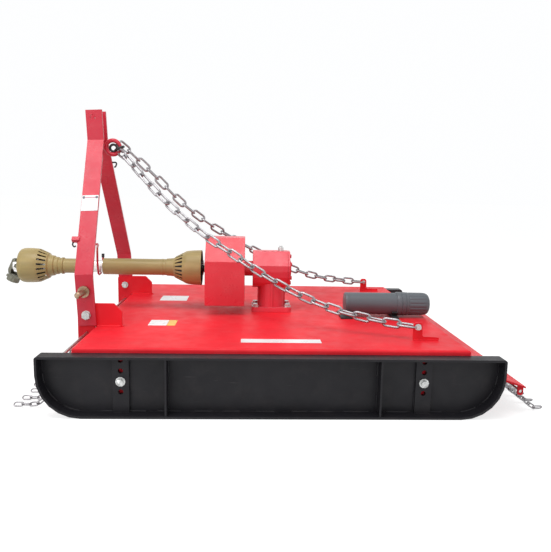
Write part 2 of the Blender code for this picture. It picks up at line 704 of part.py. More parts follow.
def gearbox_section(inset):
    """The housing's front view: flat top, sloping facets, upright sides and a round underside."""
    top, shoulder = BOX_TOP - inset, BOX_SHOULDER_Z - inset * 0.4
    half, narrow = BOX_HALF_WIDTH - inset, BOX_TOP_HALF - inset * 0.4
    points = [(-narrow, top), (narrow, top), (half, shoulder)]
    turn = 9
    for i in range(turn + 1):
        angle = -math.pi * i / turn
        points.append((half * math.cos(angle), SHAFT_Z - 0.004 + half * math.sin(angle)))
    points.append((-half, shoulder))
    return points[::-1]


def along_x(name, outline, low_x, high_x):
    """A plate across the machine between two x values."""
    return flat_plate(name, [outline], high_x - low_x, "yz", (low_x + high_x) / 2)


def gearbox():
    """Cast housing with its base flange, ribs and bosses; the rear cover closes it."""
    cover = 0.008
    rear = BOX_REAR_X - GAP
    housing = along_x("gearbox_housing", gearbox_section(0.0), BOX_FRONT_X, rear)
    deck = DECK_TOP + GAP
    neck_top = SHAFT_Z - BOX_HALF_WIDTH + 0.02
    weld(housing, round_bar("box_neck", (GEARBOX_X, 0, deck + 0.002), (GEARBOX_X, 0, neck_top),
                            NECK_RADIUS, 24))
    half = (FLANGE_LENGTH / 2, FLANGE_WIDTH / 2)
    flange = rounded([(GEARBOX_X - half[0], -half[1]), (GEARBOX_X + half[0], -half[1]),
                      (GEARBOX_X + half[0], half[1]), (GEARBOX_X - half[0], half[1])], [0.016] * 4, 3)
    weld(housing, flat_plate("box_flange", [flange], FLANGE_THICKNESS, "xy", deck + FLANGE_THICKNESS / 2))
    for k in range(4):
        angle = math.radians(90 * k)
        rib = block("box_rib", (NECK_RADIUS - 0.009, -0.004, deck + 0.006),
                    (NECK_RADIUS + 0.0045, 0.004, SHAFT_Z - 0.052))
        rib.data.transform(Matrix.Translation(rib.location))
        rib.location = (GEARBOX_X, 0.0, 0.0)
        rib.rotation_euler = (0.0, 0.0, angle)
        weld(housing, rib)
    weld(housing, round_bar("input_boss", (INPUT_BOSS_FRONT, 0, SHAFT_Z), (BOX_FRONT_X + 0.004, 0, SHAFT_Z),
                            INPUT_BOSS_RADIUS, 20))
    cavity = along_x("box_cavity", gearbox_section(BOX_WALL), BOX_FRONT_X + BOX_WALL, BOX_REAR_X + 0.01)
    cut(housing, cavity)
    cut(housing, round_bar("input_bore", (INPUT_BOSS_FRONT - 0.01, 0, SHAFT_Z),
                           (BOX_FRONT_X + 0.02, 0, SHAFT_Z), clear(INPUT_BEARING_RADIUS, 20), 20))
    cut(housing, round_bar("output_bore", (GEARBOX_X, 0, deck - 0.01), (GEARBOX_X, 0, neck_top),
                           clear(OUTPUT_BEARING_RADIUS, 20), 20))
    cut(housing, round_bar("filler_hole", (FILLER_X, 0, BOX_TOP - 0.02), (FILLER_X, 0, BOX_TOP + 0.01),
                           clear(FILLER_RADIUS, 8), 8))
    for sx in (-1, 1):
        for sy in (-1, 1):
            place = (GEARBOX_X + sx * BASE_BOLT_X, sy * BASE_BOLT_Y)
            cut(housing, round_bar("base_hole", (*place, deck - 0.01), (*place, deck + 0.04),
                                   clear(BASE_BOLT_RADIUS, 8), 8))
            name = f"gearbox_bolt_{('front', 'rear')[sx > 0]}_{('left', 'right')[sy > 0]}"
            top = deck + FLANGE_THICKNESS
            bolt = turned(name, [(-0.0035, 0.0), (-0.0035, 0.0145), (-GAP, 0.0145), (-GAP, BASE_BOLT_RADIUS),
                                 (FLANGE_THICKNESS - GAP, BASE_BOLT_RADIUS),
                                 (FLANGE_THICKNESS - GAP, 0.0)], (*place, top), (0, 0, -1), 8)
            weld(bolt, round_bar("bolt_head", (*place, top + 0.003), (*place, top + 0.012), 0.0115, 6))
            keep(bolt, "zinc", smooth=30)
    keep(housing, "gearbox_red", smooth=35)

    plate = along_x("gearbox_rear_cover", gearbox_section(0.001), BOX_REAR_X, BOX_REAR_X + cover)
    weld(plate, round_bar("cover_boss", (BOX_REAR_X + cover - 0.002, 0, SHAFT_Z),
                          (BOX_REAR_X + cover + 0.006, 0, SHAFT_Z), 0.030, 20))
    for k in range(6):
        angle = math.radians(30 + 60 * k)
        y, z = 0.053 * math.cos(angle), SHAFT_Z - 0.003 + 0.053 * math.sin(angle)
        weld(plate, round_bar("cover_bolt", (BOX_REAR_X + cover - 0.002, y, z),
                              (BOX_REAR_X + cover + 0.007, y, z), 0.0075, 6))
    keep(plate, "gearbox_red", smooth=35)

    plug = turned("gearbox_filler_plug", [(-0.020, 0.0), (-0.020, 0.006), (-0.014, 0.006), (-0.014, 0.011),
                                          (-GAP, 0.011), (-GAP, FILLER_RADIUS), (0.007, FILLER_RADIUS),
                                          (0.007, 0.0)],
                  (FILLER_X, 0, BOX_TOP), (0, 0, -1), 8)
    keep(plug, "zinc", smooth=30)


def bevel_gear(name, teeth, mate, flanks, phase):
    """Straight bevel gear with its pitch cone's point at the origin, on the side its teeth face (+Z).

    Each tooth is drawn on the back cone as root, pitch and tip points: (height in modules, half the
    thickness as a share of the tooth pitch). Scaled to the cone's point they give the small end.
    """
    pitch_radius = GEAR_MODULE * teeth / 2
    cone = math.atan2(teeth, mate)
    reach = pitch_radius / math.sin(cone)
    pitch_angle = 2 * math.pi / teeth
    slack = BACKLASH / 4 / pitch_radius
    bm = bmesh.new()

    def ring(radii_depths):
        return [bm.verts.new((r * math.cos(a), r * math.sin(a), -d)) for a, r, d in radii_depths]

    tooth_points = []
    for k in range(teeth):
        middle = pitch_angle * (k + phase)
        sides = [(-half, height) for height, half in flanks]
        sides += [(half, height) for height, half in reversed(flanks)]
        for half, height in sides:
            angle = middle + pitch_angle * half - math.copysign(slack, half)
            radius = pitch_radius + height * GEAR_MODULE * math.cos(cone)
            depth = reach * math.cos(cone) - height * GEAR_MODULE * math.sin(cone)
            tooth_points.append((angle, radius, depth))
    small = 1.0 - GEAR_FACE_SHARE
    upper = ring([(a, r * small, d * small) for a, r, d in tooth_points])
    lower = ring(tooth_points)
    count = len(tooth_points)
    for i in range(count):
        j = (i + 1) % count
        bm.faces.new((upper[i], lower[i], lower[j], upper[j]))
    per_tooth = 2 * len(flanks)
    for end in (upper, lower):
        roots = []
        for k in range(teeth):
            tooth = end[per_tooth * k:per_tooth * (k + 1)]
            bm.faces.new(tooth)
            roots += [tooth[0], tooth[-1]]
        bm.faces.new(roots)
    bmesh.ops.recalc_face_normals(bm, faces=bm.faces)
    return mesh_object(name, bm)


def drive_train():
    """Input shaft with the crown gear, output shaft with the pinion, and their bearings."""
    point = Vector((GEARBOX_X, 0.0, SHAFT_Z))
    crown = bevel_gear("crown_gear", CROWN_TEETH, PINION_TEETH,
                       ((-1.20, 0.36), (0.0, 0.25), (0.80, 0.12)), 0.5)
    crown.location = point
    crown.rotation_euler = (0.0, -math.pi / 2, 0.0)
    cut(crown, round_bar("crown_bore", point, point + Vector((0.08, 0, 0)), clear(SHAFT_RADIUS, 20), 20))
    keep(crown, "gear_steel", input_axis)
    pinion = bevel_gear("output_pinion", PINION_TEETH, CROWN_TEETH,
                        ((-1.20, 0.335), (0.0, 0.25), (0.80, 0.10)), 0.0)
    pinion.location = point
    cut(pinion, round_bar("pinion_bore", point, point - Vector((0, 0, 0.08)), clear(SHAFT_RADIUS, 20), 20))
    keep(pinion, "gear_steel", rotor_axis)

    front, rear = REAR_JOINT_X + YOKE_BASE + 0.006, BOX_REAR_X - 0.003
    shaft = turned("input_shaft", [(0, 0.0), (0, SHAFT_RADIUS - 0.002), (0.002, SHAFT_RADIUS),
                                   (rear - front, SHAFT_RADIUS), (rear - front, 0.0)],
                   (front, 0, SHAFT_Z), (1, 0, 0), 20)
    keep(shaft, "bare_steel", input_axis, smooth=30)
    pinion_top = SHAFT_Z - GEAR_MODULE * CROWN_TEETH / 2 * (1.0 - GEAR_FACE_SHARE) + 0.004
    shaft_end = CARRIER_Z - 0.034
    out = turned("output_shaft", [(0, 0.0), (0, SHAFT_RADIUS),
                                  (pinion_top - CARRIER_Z - 0.038, SHAFT_RADIUS),
                                  (pinion_top - CARRIER_Z - 0.036, SHAFT_RADIUS - 0.002),
                                  (pinion_top - shaft_end, SHAFT_RADIUS - 0.002),
                                  (pinion_top - shaft_end, 0.0)],
                 (GEARBOX_X, 0, pinion_top), (0, 0, -1), 20)
    keep(out, "bare_steel", rotor_axis, smooth=30)

    def bearing(name, start, towards, width, outer):
        bore = clear(SHAFT_RADIUS, 16)
        ring = turned(name, [(0, outer), (width, outer), (width, bore), (0, bore)], start, towards, 16)
        keep(ring, "bare_steel", smooth=30)

    bearing("input_bearing_front", (INPUT_BOSS_FRONT + 0.002, 0, SHAFT_Z), (1, 0, 0), 0.014,
            INPUT_BEARING_RADIUS)
    bearing("input_bearing_rear", (BOX_REAR_X - 0.0155, 0, SHAFT_Z), (1, 0, 0), 0.0145, 0.029)
    bearing("output_bearing", (GEARBOX_X, 0, DECK_TOP + 0.026), (0, 0, -1), 0.018,
            OUTPUT_BEARING_RADIUS)


def hood():
    """Bent sheet over the rear joint, open below and in front, with its end plate on the gearbox."""
    rear = INPUT_BOSS_FRONT - GAP

    def section(inset):
        half, narrow = HOOD_HALF_WIDTH - inset, HOOD_TOP_HALF - inset * 0.4
        shoulder, top = HOOD_SHOULDER_Z - inset * 0.4, HOOD_TOP - inset
        return [(-half, HOOD_BOTTOM - inset * 2), (half, HOOD_BOTTOM - inset * 2), (half, shoulder),
                (narrow, top), (-narrow, top), (-half, shoulder)]

    shell = along_x("input_shaft_hood", section(0.0), HOOD_FRONT_X, rear)
    cut(shell, along_x("hood_inside", section(HOOD_SHEET), HOOD_FRONT_X - 0.02, rear - HOOD_SHEET))
    cut(shell, round_bar("hood_hole", (rear - 0.02, 0, SHAFT_Z), (rear + 0.01, 0, SHAFT_Z),
                         clear(YOKE_COLLAR_RADIUS + 0.002, 20), 20))
    keep(shell, "gearbox_red")


def yoke(name, joint, towards, ears_along, collar_end, bore, body, slot="bare_steel", extra=None):
    """Forged yoke: a collar that opens into two ears, drilled for the cross, along one direction.

    The joint's centre is the start; the ears stand off the axis along ears_along.
    """
    joint, towards = Vector(joint), Vector(towards).normalized()
    side = Vector(ears_along).normalized()
    third = towards.cross(side)
    tip = -YOKE_EAR_OVERHANG
    profile = [(tip, YOKE_EAR_OUTER - 0.003), (tip + 0.004, YOKE_EAR_OUTER),
               (YOKE_BASE - 0.010, YOKE_EAR_OUTER),
               (YOKE_BASE + 0.006, YOKE_COLLAR_RADIUS), (collar_end, YOKE_COLLAR_RADIUS),
               (collar_end, bore), (YOKE_BASE, bore), (YOKE_BASE, 0.012 if bore < 0.012 else bore),
               (YOKE_BASE - 0.010, YOKE_EAR_INNER), (tip, YOKE_EAR_INNER)]
    if bore < 0.012:
        profile = profile[:5] + [(collar_end, 0.0), (YOKE_BASE, 0.0)] + profile[8:]
    piece = turned(name, profile, joint, towards, 14)
    turn = Matrix((third, side, towards)).transposed().to_4x4()
    for end in (-1, 1):
        low = (YOKE_EAR_HALF, -0.05, tip - 0.01) if end > 0 else (-0.05, -0.05, tip - 0.01)
        high = (0.05, 0.05, YOKE_BASE - 0.004) if end > 0 else (-YOKE_EAR_HALF, 0.05, YOKE_BASE - 0.004)
        side_cut = block(name + "_side", low, high)
        side_cut.data.transform(Matrix.Translation(side_cut.location))
        side_cut.matrix_world = Matrix.Translation(joint) @ turn
        cut(piece, side_cut)
    cut(piece, round_bar(name + "_eye", joint - side * 0.05, joint + side * 0.05,
                         clear(TRUNNION_RADIUS, 12), 12))
    if extra:
        weld(piece, extra)
    return keep(piece, slot, body, smooth=35)


def cross(name, joint, one, other, body):
    """Universal joint cross: two pins through a small hub."""
    joint, one, other = Vector(joint), Vector(one).normalized(), Vector(other).normalized()
    reach = YOKE_EAR_OUTER - 0.002
    pins = round_bar(name, joint - one * reach, joint + one * reach, TRUNNION_RADIUS, 10)
    weld(pins, round_bar(name + "_pin", joint - other * reach, joint + other * reach, TRUNNION_RADIUS, 10))
    weld(pins, round_bar(name + "_hub", joint - one * 0.013, joint + one * 0.013, 0.0155, 8))
    keep(pins, "bare_steel", body, smooth=30)


def lobed(radius, count=24):
    """Three-lobed tube outline that carries the torque and still slides."""
    return [((radius + TUBE_LOBE * math.cos(3 * a)) * math.cos(a), (radius + TUBE_LOBE * math.cos(3 * a))
             * math.sin(a)) for a in [2 * math.pi * (i + 0.5) / count for i in range(count)]]


def profile_tube(name, radius, low_x, high_x):
    tube = flat_plate(name, [lobed(radius), lobed(radius - TUBE_WALL)], high_x - low_x, "yz",
                      (low_x + high_x) / 2)
    tube.location.z = SHAFT_Z
    return tube


def guard(name, tube_radius, tube_end, mouth, outward, bell_radius, mouth_radius, body):
    """Plastic guard: a tube that widens in a slotted cone to a bell over the joint.

    Distances run from the free end of the tube (tube_end) to the mouth of the bell.
    """
    length = abs(mouth - tube_end)
    wall = GUARD_WALL
    bell = length - 0.058
    cone = bell - 0.036
    step = cone - 0.030
    outer = [(0.0, tube_radius), (step - 0.008, tube_radius), (step - 0.006, tube_radius + 0.003),
             (cone - 0.004, tube_radius + 0.006), (cone, tube_radius + 0.011), (bell, bell_radius - 0.008),
             (bell + 0.012, bell_radius - 0.002)]
    if mouth_radius < bell_radius:
        outer += [(length - 0.022, bell_radius), (length - 0.010, bell_radius - 0.003),
                  (length - 0.003, bell_radius - 0.010), (length, mouth_radius + wall)]
    else:
        outer += [(length, bell_radius)]
    inner = []
    for i, (along, radius) in enumerate(outer):
        shift = -wall * 0.5 if 3 <= i <= 5 else 0.0
        inner.append((min(along - shift, length), radius - wall))
    if mouth_radius < bell_radius:
        inner[-1] = (length, mouth_radius)
        inner[-2] = (length - 0.005, bell_radius - 0.014)
    inner[0] = (0.0, tube_radius - wall)
    piece = turned(name, outer + inner[::-1], (tube_end, 0, SHAFT_Z), (outward, 0, 0), 18)
    for k in range(8):
        angle = 2 * math.pi * (k + 0.25) / 8
        near, far = sorted((outward * (bell - 0.026), outward * (bell - 0.008)))
        slot = block(name + "_slot", (near, -0.0065, tube_radius), (far, 0.0065, 0.09))
        slot.data.transform(Matrix.Translation(slot.location))
        slot.matrix_world = Matrix.Translation((tube_end, 0, SHAFT_Z)) @ Matrix.Rotation(angle, 4, "X")
        cut(piece, slot)
    keep(piece, "guard_yellow", body, smooth=35)


def pto_shaft():
    """Both joints, the sliding profile tubes and their two guards, lying in the cradle."""
    rear = (REAR_JOINT_X, 0.0, SHAFT_Z)
    front = (FRONT_JOINT_X, 0.0, SHAFT_Z)
    yoke("rear_end_yoke", rear, (1, 0, 0), (0, 0, 1), 0.094, clear(SHAFT_RADIUS, 14), input_axis)
    cross("rear_cross", rear, (0, 0, 1), (0, 1, 0), input_axis)
    outer = profile_tube("outer_tube", OUTER_TUBE_RADIUS, OUTER_TUBE_FRONT_X,
                         REAR_JOINT_X - YOKE_BASE - 0.012)
    yoke("outer_profile_shaft", rear, (-1, 0, 0), (0, 1, 0), 0.070, 0.0, outer_shaft_axis, "zinc", outer)
    inner_radius = OUTER_TUBE_RADIUS - TUBE_WALL - 2 * GAP
    inner = profile_tube("inner_tube", inner_radius, FRONT_JOINT_X + YOKE_BASE + 0.012, INNER_TUBE_REAR_X)
    yoke("inner_profile_shaft", front, (1, 0, 0), (0, 1, 0), 0.070, 0.0, inner_shaft_axis, "zinc", inner)
    droop = (-math.cos(YOKE_DROOP), 0.0, -math.sin(YOKE_DROOP))
    pin_from = Vector(front) + Vector(droop) * 0.056
    out = Vector((-math.sin(YOKE_DROOP), 0.0, math.cos(YOKE_DROOP)))
    cross("front_cross", front, (0, 1, 0), out, front_cross_axis)
    pin = round_bar("push_pin", pin_from + out * 0.021, pin_from + out * 0.029, 0.0055, 8)
    yoke("front_end_yoke", front, droop, Vector((0, 1, 0)).cross(droop), 0.068, clear(SHAFT_RADIUS, 14),
         end_yoke_axis, "bare_steel", pin)
    guard("guard_rear", REAR_GUARD_RADIUS, REAR_GUARD_FRONT_X, REAR_BELL_MOUTH_X, 1, BELL_RADIUS,
          BELL_RADIUS, lift_axis)
    guard("guard_front", FRONT_GUARD_RADIUS, FRONT_GUARD_REAR_X, FRONT_BELL_MOUTH_X, -1, FRONT_BELL_RADIUS,
          FRONT_MOUTH_RADIUS, telescope_axis)


gearbox()
drive_train()
hood()
pto_shaft()


def on_rotor(radial, across, angle):
    """A point of the rotor: out along an arm and across it."""
    turn = ROTOR_REST_ANGLE + angle
    return (GEARBOX_X + radial * math.cos(turn) - across * math.sin(turn),
            radial * math.sin(turn) + across * math.cos(turn))


def rotor():
    """Cross bar keyed on the output shaft, with two swinging blades bolted under its ends."""
    half, wide = BLADE_PIVOT_RADIUS + CARRIER_END, CARRIER_WIDTH / 2
    outline = rounded([(-half, -wide), (half, -wide), (half, wide), (-half, wide)], [0.030] * 4, 3)
    holes = [circle((0.0, 0.0), clear(SHAFT_RADIUS - 0.002, 20), 20)]
    holes += [circle((end * BLADE_PIVOT_RADIUS, 0.0), clear(BLADE_BOLT_RADIUS, 12), 12) for end in (-1, 1)]
    bar = flat_plate("blade_carrier", [outline] + holes, CARRIER_THICKNESS, "xy", CARRIER_Z)
    bar.location.x = GEARBOX_X
    bar.rotation_euler = (0.0, 0.0, ROTOR_REST_ANGLE)
    hub_bore = clear(SHAFT_RADIUS - 0.002, 20)
    hub = turned("carrier_hub", [(0, 0.032), (0.030, 0.034), (0.030, hub_bore), (0, hub_bore)],
                 (GEARBOX_X, 0, CARRIER_Z + CARRIER_THICKNESS / 2 + 0.028), (0, 0, -1), 20)
    weld(bar, hub)
    keep(bar, "bare_steel", rotor_axis, smooth=35)
    under = CARRIER_Z - CARRIER_THICKNESS / 2
    nut_bore = clear(SHAFT_RADIUS - 0.002, 12)
    nut = turned("carrier_nut", [(0, nut_bore), (0, 0.034), (0.004, 0.034), (0.004, 0.026),
                                 (0.022, 0.026), (0.022, nut_bore)],
                 (GEARBOX_X, 0, under - GAP), (0, 0, -1), 12)
    keep(nut, "zinc", rotor_axis, smooth=30)
    drop = GAP * 4
    for number, angle in ((1, 0.0), (2, math.pi)):
        x, y = on_rotor(BLADE_PIVOT_RADIUS, 0.0, angle)
        pivot = axis_empty(f"blade_{number}_axis", (x, y, under))
        top = CARRIER_Z + CARRIER_THICKNESS / 2
        blade_top = under - drop
        low = blade_top - BLADE_THICKNESS
        bolt = turned(f"blade_bolt_{number}",
                      [(-0.011, 0.0), (-0.011, 0.018), (-GAP, 0.018), (-GAP, BLADE_BOLT_RADIUS),
                       (top - low + 0.001, BLADE_BOLT_RADIUS), (top - low + 0.001, 0.021),
                       (top - low + 0.010, 0.018), (top - low + 0.010, 0.0)],
                      (x, y, top), (0, 0, -1), 12)
        keep(bolt, "zinc", rotor_axis, smooth=30)
        reach = ROTOR_RADIUS - BLADE_PIVOT_RADIUS
        wide = BLADE_WIDTH / 2
        outline = rounded([(-0.034, -wide * 0.8), (0.05, -wide), (reach, -wide), (reach - 0.012, wide),
                           (0.05, wide), (-0.034, wide * 0.8)], [0.022, 0, 0.004, 0.004, 0, 0.022], 3)
        hole = circle((0.0, 0.0), clear(BLADE_BOLT_RADIUS, 12), 12)
        blade = flat_plate(f"blade_{number}", [outline, hole],
                           BLADE_THICKNESS, "xy", 0.0)
        bevel_cut = block("blade_edge", (0.08, 0.0, -0.012), (reach + 0.05, 0.06, 0.012))
        bevel_cut.data.transform(Matrix.Translation(bevel_cut.location))
        bevel_cut.data.transform(Matrix.Rotation(math.radians(28), 4, "X"))
        place = (Matrix.Translation((x, y, (blade_top + low) / 2))
                 @ Matrix.Rotation(ROTOR_REST_ANGLE + angle, 4, "Z"))
        blade.matrix_world = place
        bevel_cut.matrix_world = place @ Matrix.Translation((0.0, wide - 0.004, 0.012))
        cut(blade, bevel_cut)
        keep(blade, "gear_steel", pivot)


def spaced(points, steps, pitch, floor=-1.0):
    """Points a link apart along a smooth curve, none of them under the floor height."""
    curve = [Vector(p) for p in smooth_path(points, steps)]
    for point in curve:
        point.z = max(point.z, floor)
    lengths = [0.0]
    for a, b in zip(curve, curve[1:]):
        lengths.append(lengths[-1] + (b - a).length)
    count = round(lengths[-1] / pitch)
    places = []
    for k in range(count + 1):
        distance = lengths[-1] * k / count
        i = max(j for j in range(len(lengths) - 1) if lengths[j] <= distance + 1e-9)
        share = (distance - lengths[i]) / (lengths[i + 1] - lengths[i])
        places.append(curve[i].lerp(curve[i + 1], min(share, 1.0)))
    return places


def strand(name, places, width, radius):
    """A chain as one slim solid, broad flat and broad upright by turns as its links are."""
    bm = bmesh.new()
    rings = []
    last = len(places) - 1
    for k, place in enumerate(places):
        along = (places[min(k + 1, last)] - places[max(k - 1, 0)]).normalized()
        level = along.cross(Vector((0, 0, 1))).normalized()
        upright = along.cross(level)
        ends = 0.6 if k in (0, last) else 1.0
        broad, thin = width / 2 * ends, radius * ends
        across, up = (broad, thin) if k % 2 else (thin, broad)
        rings.append([bm.verts.new(place + level * (across * a) + upright * (up * b))
                      for a, b in ((1, 0), (0, 1), (-1, 0), (0, -1))])
    for one, two in zip(rings, rings[1:]):
        for i in range(4):
            j = (i + 1) % 4
            bm.faces.new((one[i], one[j], two[j], two[i]))
    bm.faces.new(rings[0][::-1])
    bm.faces.new(rings[-1])
    bmesh.ops.recalc_face_normals(bm, faces=bm.faces)
    return mesh_object(name, bm)


def brace_chain(name, side, above, beside, points):
    """Chain from the mast's eye to the rear lug, slack enough to sag.

    Its points give the curve; they are moved so that its ends stay in the eye and at the lug.
    """
    start = (EYE[0] + beside, points[0][1], EYE[1] + above)
    end = (LUG_X - 0.025, side * (LUG_Y - 0.012), LUG_HOLE_Z + 0.0017)
    first, last = points[0], points[-1]
    hung = [tuple(s + (e - s) * (p - f) / (l - f) for s, e, p, f, l in zip(start, end, point, first, last))
            for point in points]
    places = spaced(hung, 8, BRACE_LINK_PITCH / 2)
    keep(strand(name, places, BRACE_LINK_WIDTH, BRACE_WIRE_RADIUS), "chain_steel")


def chain_lug(side, name, bolt_name):
    """Flat bar foot on the deck with a standing plate that the chain is bolted to."""
    y = side * LUG_Y
    deck = DECK_TOP + GAP
    outline = rounded([(LUG_X - 0.014, deck), (LUG_X + 0.070, deck), (LUG_X + 0.070, deck + 0.010),
                       (LUG_X + 0.016, deck + 0.012), (LUG_X + 0.014, deck + LUG_HEIGHT),
                       (LUG_X - 0.014, deck + LUG_HEIGHT)], [0, 0, 0.003, 0.006, 0.009, 0.009], 3)
    plate = flat_plate(name, [outline, circle((LUG_X, LUG_HOLE_Z), clear(0.0055, 8), 8)], 0.008, "xz", y)
    keep(plate, "deck_red")
    hex_bolt(bolt_name, (LUG_X, y + side * 0.004, LUG_HOLE_Z), (0, -side, 0), 0.008, 0.0055, 0.0085, "zinc",
             washer=0.011)


def curtain(name, rod, reach, body):
    """Rod with short chains hung along it; each falls to the ground and lies outward.

    Every chain is one slim solid, wide and narrow by turns as its links are.
    """
    rod_x, rod_z = rod
    low_z = CURTAIN_LIE_Z
    half = DECK_WIDTH / 2 - CURTAIN_END
    count = int((half - CURTAIN_LINK_WIDTH) / CURTAIN_PITCH)
    bar = round_bar(name, (rod_x, -half, rod_z), (rod_x, half, rod_z), CURTAIN_ROD_RADIUS, 8)
    out = 1 if reach > 0 else -1
    drop = [(0.0, rod_z + 0.002), (0.004 * out, rod_z - 0.02),
            (0.25 * reach, (rod_z + low_z) / 2), (0.45 * reach, low_z + 0.018), (0.62 * reach, low_z),
            (reach, low_z)]
    route = [(rod_x + x, 0.0, z) for x, z in drop]
    places = spaced(route, 6, CURTAIN_LINK_LENGTH, low_z)
    bracket_y = LEG_FOOT_Y - LEG_THICKNESS - BRACKET_THICKNESS / 2
    room = BRACKET_THICKNESS / 2 + CURTAIN_LINK_WIDTH / 2 + 0.003
    for n in range(-count, count + 1):
        y = n * CURTAIN_PITCH
        if rod_x < 0 and abs(abs(y) - bracket_y) < room:
            continue
        hung = strand(name + "_chain", [place + Vector((0, y, 0)) for place in places],
                      CURTAIN_LINK_WIDTH, CURTAIN_WIRE_RADIUS)
        weld(bar, hung)
    keep(bar, "chain_steel", body)


def rear_apron():
    """Sheet welded along the rear skirt that slopes out over the rear chains, with tabs for their rod."""
    start_x = DECK_REAR_X + GAP
    root_z = REAR_SKIRT_BOTTOM + 0.030
    slope = [(start_x, root_z), (start_x + 0.004, root_z + 0.004),
             (APRON_REAR_X - 0.060, APRON_REAR_Z + 0.020),
             (APRON_REAR_X, APRON_REAR_Z), (APRON_REAR_X, APRON_REAR_Z - 0.005),
             (APRON_REAR_X - 0.062, APRON_REAR_Z + 0.014), (start_x, root_z - 0.006)]
    sheet = flat_plate("rear_chain_rail", [slope], DECK_WIDTH, "xz", 0.0)
    x, z = REAR_ROD
    outer = DECK_WIDTH / 2 - RAIL_TAB_END
    for y in (-outer, -RAIL_TAB_Y, RAIL_TAB_Y, outer):
        tab = flat_plate("rail_tab", [rounded([(x - 0.010, z - 0.012), (x + 0.008, z - 0.012),
                                               (x + 0.008, APRON_REAR_Z - 0.001),
                                               (x - 0.010, APRON_REAR_Z + 0.002)], [0.005, 0.005, 0, 0], 2)],
                         RAIL_TAB_THICKNESS, "xz", y)
        weld(sheet, tab)
        cut(sheet, round_bar("rod_hole", (x, y - 0.02, z), (x, y + 0.02, z),
                             clear(CURTAIN_ROD_RADIUS, 10), 10))
    keep(sheet, "deck_red")


def document_tube():
    """Plastic tube with a ribbed cap, lying in two saddles on the deck."""
    body = turned("document_tube", [(0, 0.0), (0, DOC_RADIUS - 0.003), (0.003, DOC_RADIUS),
                                    (DOC_COLLAR_X - DOC_FRONT_X, DOC_RADIUS),
                                    (DOC_COLLAR_X - DOC_FRONT_X, DOC_RADIUS + 0.0035),
                                    (DOC_CAP_X - DOC_FRONT_X - GAP, DOC_RADIUS + 0.0035),
                                    (DOC_CAP_X - DOC_FRONT_X - GAP, DOC_RADIUS - DOC_WALL),
                                    (DOC_WALL, DOC_RADIUS - DOC_WALL), (DOC_WALL, 0.0)],
                  (DOC_FRONT_X, DOC_Y, DOC_Z), (1, 0, 0), 20)
    keep(body, "tube_grey", smooth=35)
    length = DOC_END_X - DOC_CAP_X
    cap = turned("document_tube_cap", [(length - DOC_WALL, 0.0), (length - 0.012, DOC_RADIUS - 0.012),
                                       (0, DOC_RADIUS - DOC_WALL), (0, DOC_RADIUS + 0.002),
                                       (length - 0.018, DOC_RADIUS), (length - 0.005, DOC_RADIUS - 0.006),
                                       (length, DOC_RADIUS - 0.016), (length, 0.0)],
                 (DOC_CAP_X, DOC_Y, DOC_Z), (1, 0, 0), 20)
    keep(cap, "tube_grey", cap_axis, smooth=35)
    deck = DECK_TOP + GAP
    for where, x in (("front", DOC_FRONT_X + 0.010), ("rear", DOC_COLLAR_X - 0.012)):
        name = f"document_tube_saddle_{where}"
        half = DOC_RADIUS + 0.007
        outline = [(DOC_Y - 0.060, deck), (DOC_Y + 0.060, deck), (DOC_Y + 0.060, deck + 0.007),
                   (DOC_Y + half, deck + 0.010)]
        outline += [(DOC_Y + half * math.cos(a), DOC_Z + half * math.sin(a))
                    for a in [math.radians(-18 + 36 * k + 0) for k in range(0, 7)]]
        outline += [(DOC_Y - half, deck + 0.010), (DOC_Y - 0.060, deck + 0.007)]
        saddle = flat_plate(name, [outline, circle((DOC_Y, DOC_Z), clear(DOC_RADIUS, 20), 20)], 0.018,
                            "yz", x)
        keep(saddle, "saddle_black")


rotor()
for side, hand in ((-1, "left"), (1, "right")):
    chain_lug(side, "chain_lug_" + hand, "chain_bolt_" + hand)
brace_chain("brace_chain_left", -1, -0.022, 0.040,
            [(-0.562, -0.030, 0.800), (-0.407, -0.109, 0.643), (-0.259, -0.170, 0.521),
             (-0.135, -0.221, 0.444), (-0.052, -0.255, 0.393), (0.074, -0.307, 0.327),
             (0.211, -0.364, 0.279), (0.346, -0.419, 0.254), (0.446, -0.459, 0.247)])
brace_chain("brace_chain_right", 1, 0.004, 0.042,
            [(-0.560, 0.032, 0.826), (-0.449, 0.092, 0.711), (-0.358, 0.130, 0.616),
             (-0.252, 0.173, 0.531), (-0.171, 0.206, 0.479), (-0.075, 0.246, 0.422),
             (0.115, 0.324, 0.325), (0.251, 0.380, 0.279), (0.399, 0.441, 0.253),
             (0.446, 0.459, 0.247)])
curtain("front_chain_curtain", FRONT_ROD, -FRONT_CURTAIN_REACH, front_curtain_axis)
curtain("rear_chain_curtain", REAR_ROD, REAR_CURTAIN_REACH, rear_curtain_axis)
rear_apron()
document_tube()
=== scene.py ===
"""Looks of the rotary slasher, put together in the order in which the machine is built."""
import math
import random

import bmesh
import bpy
from mathutils import Matrix, Vector


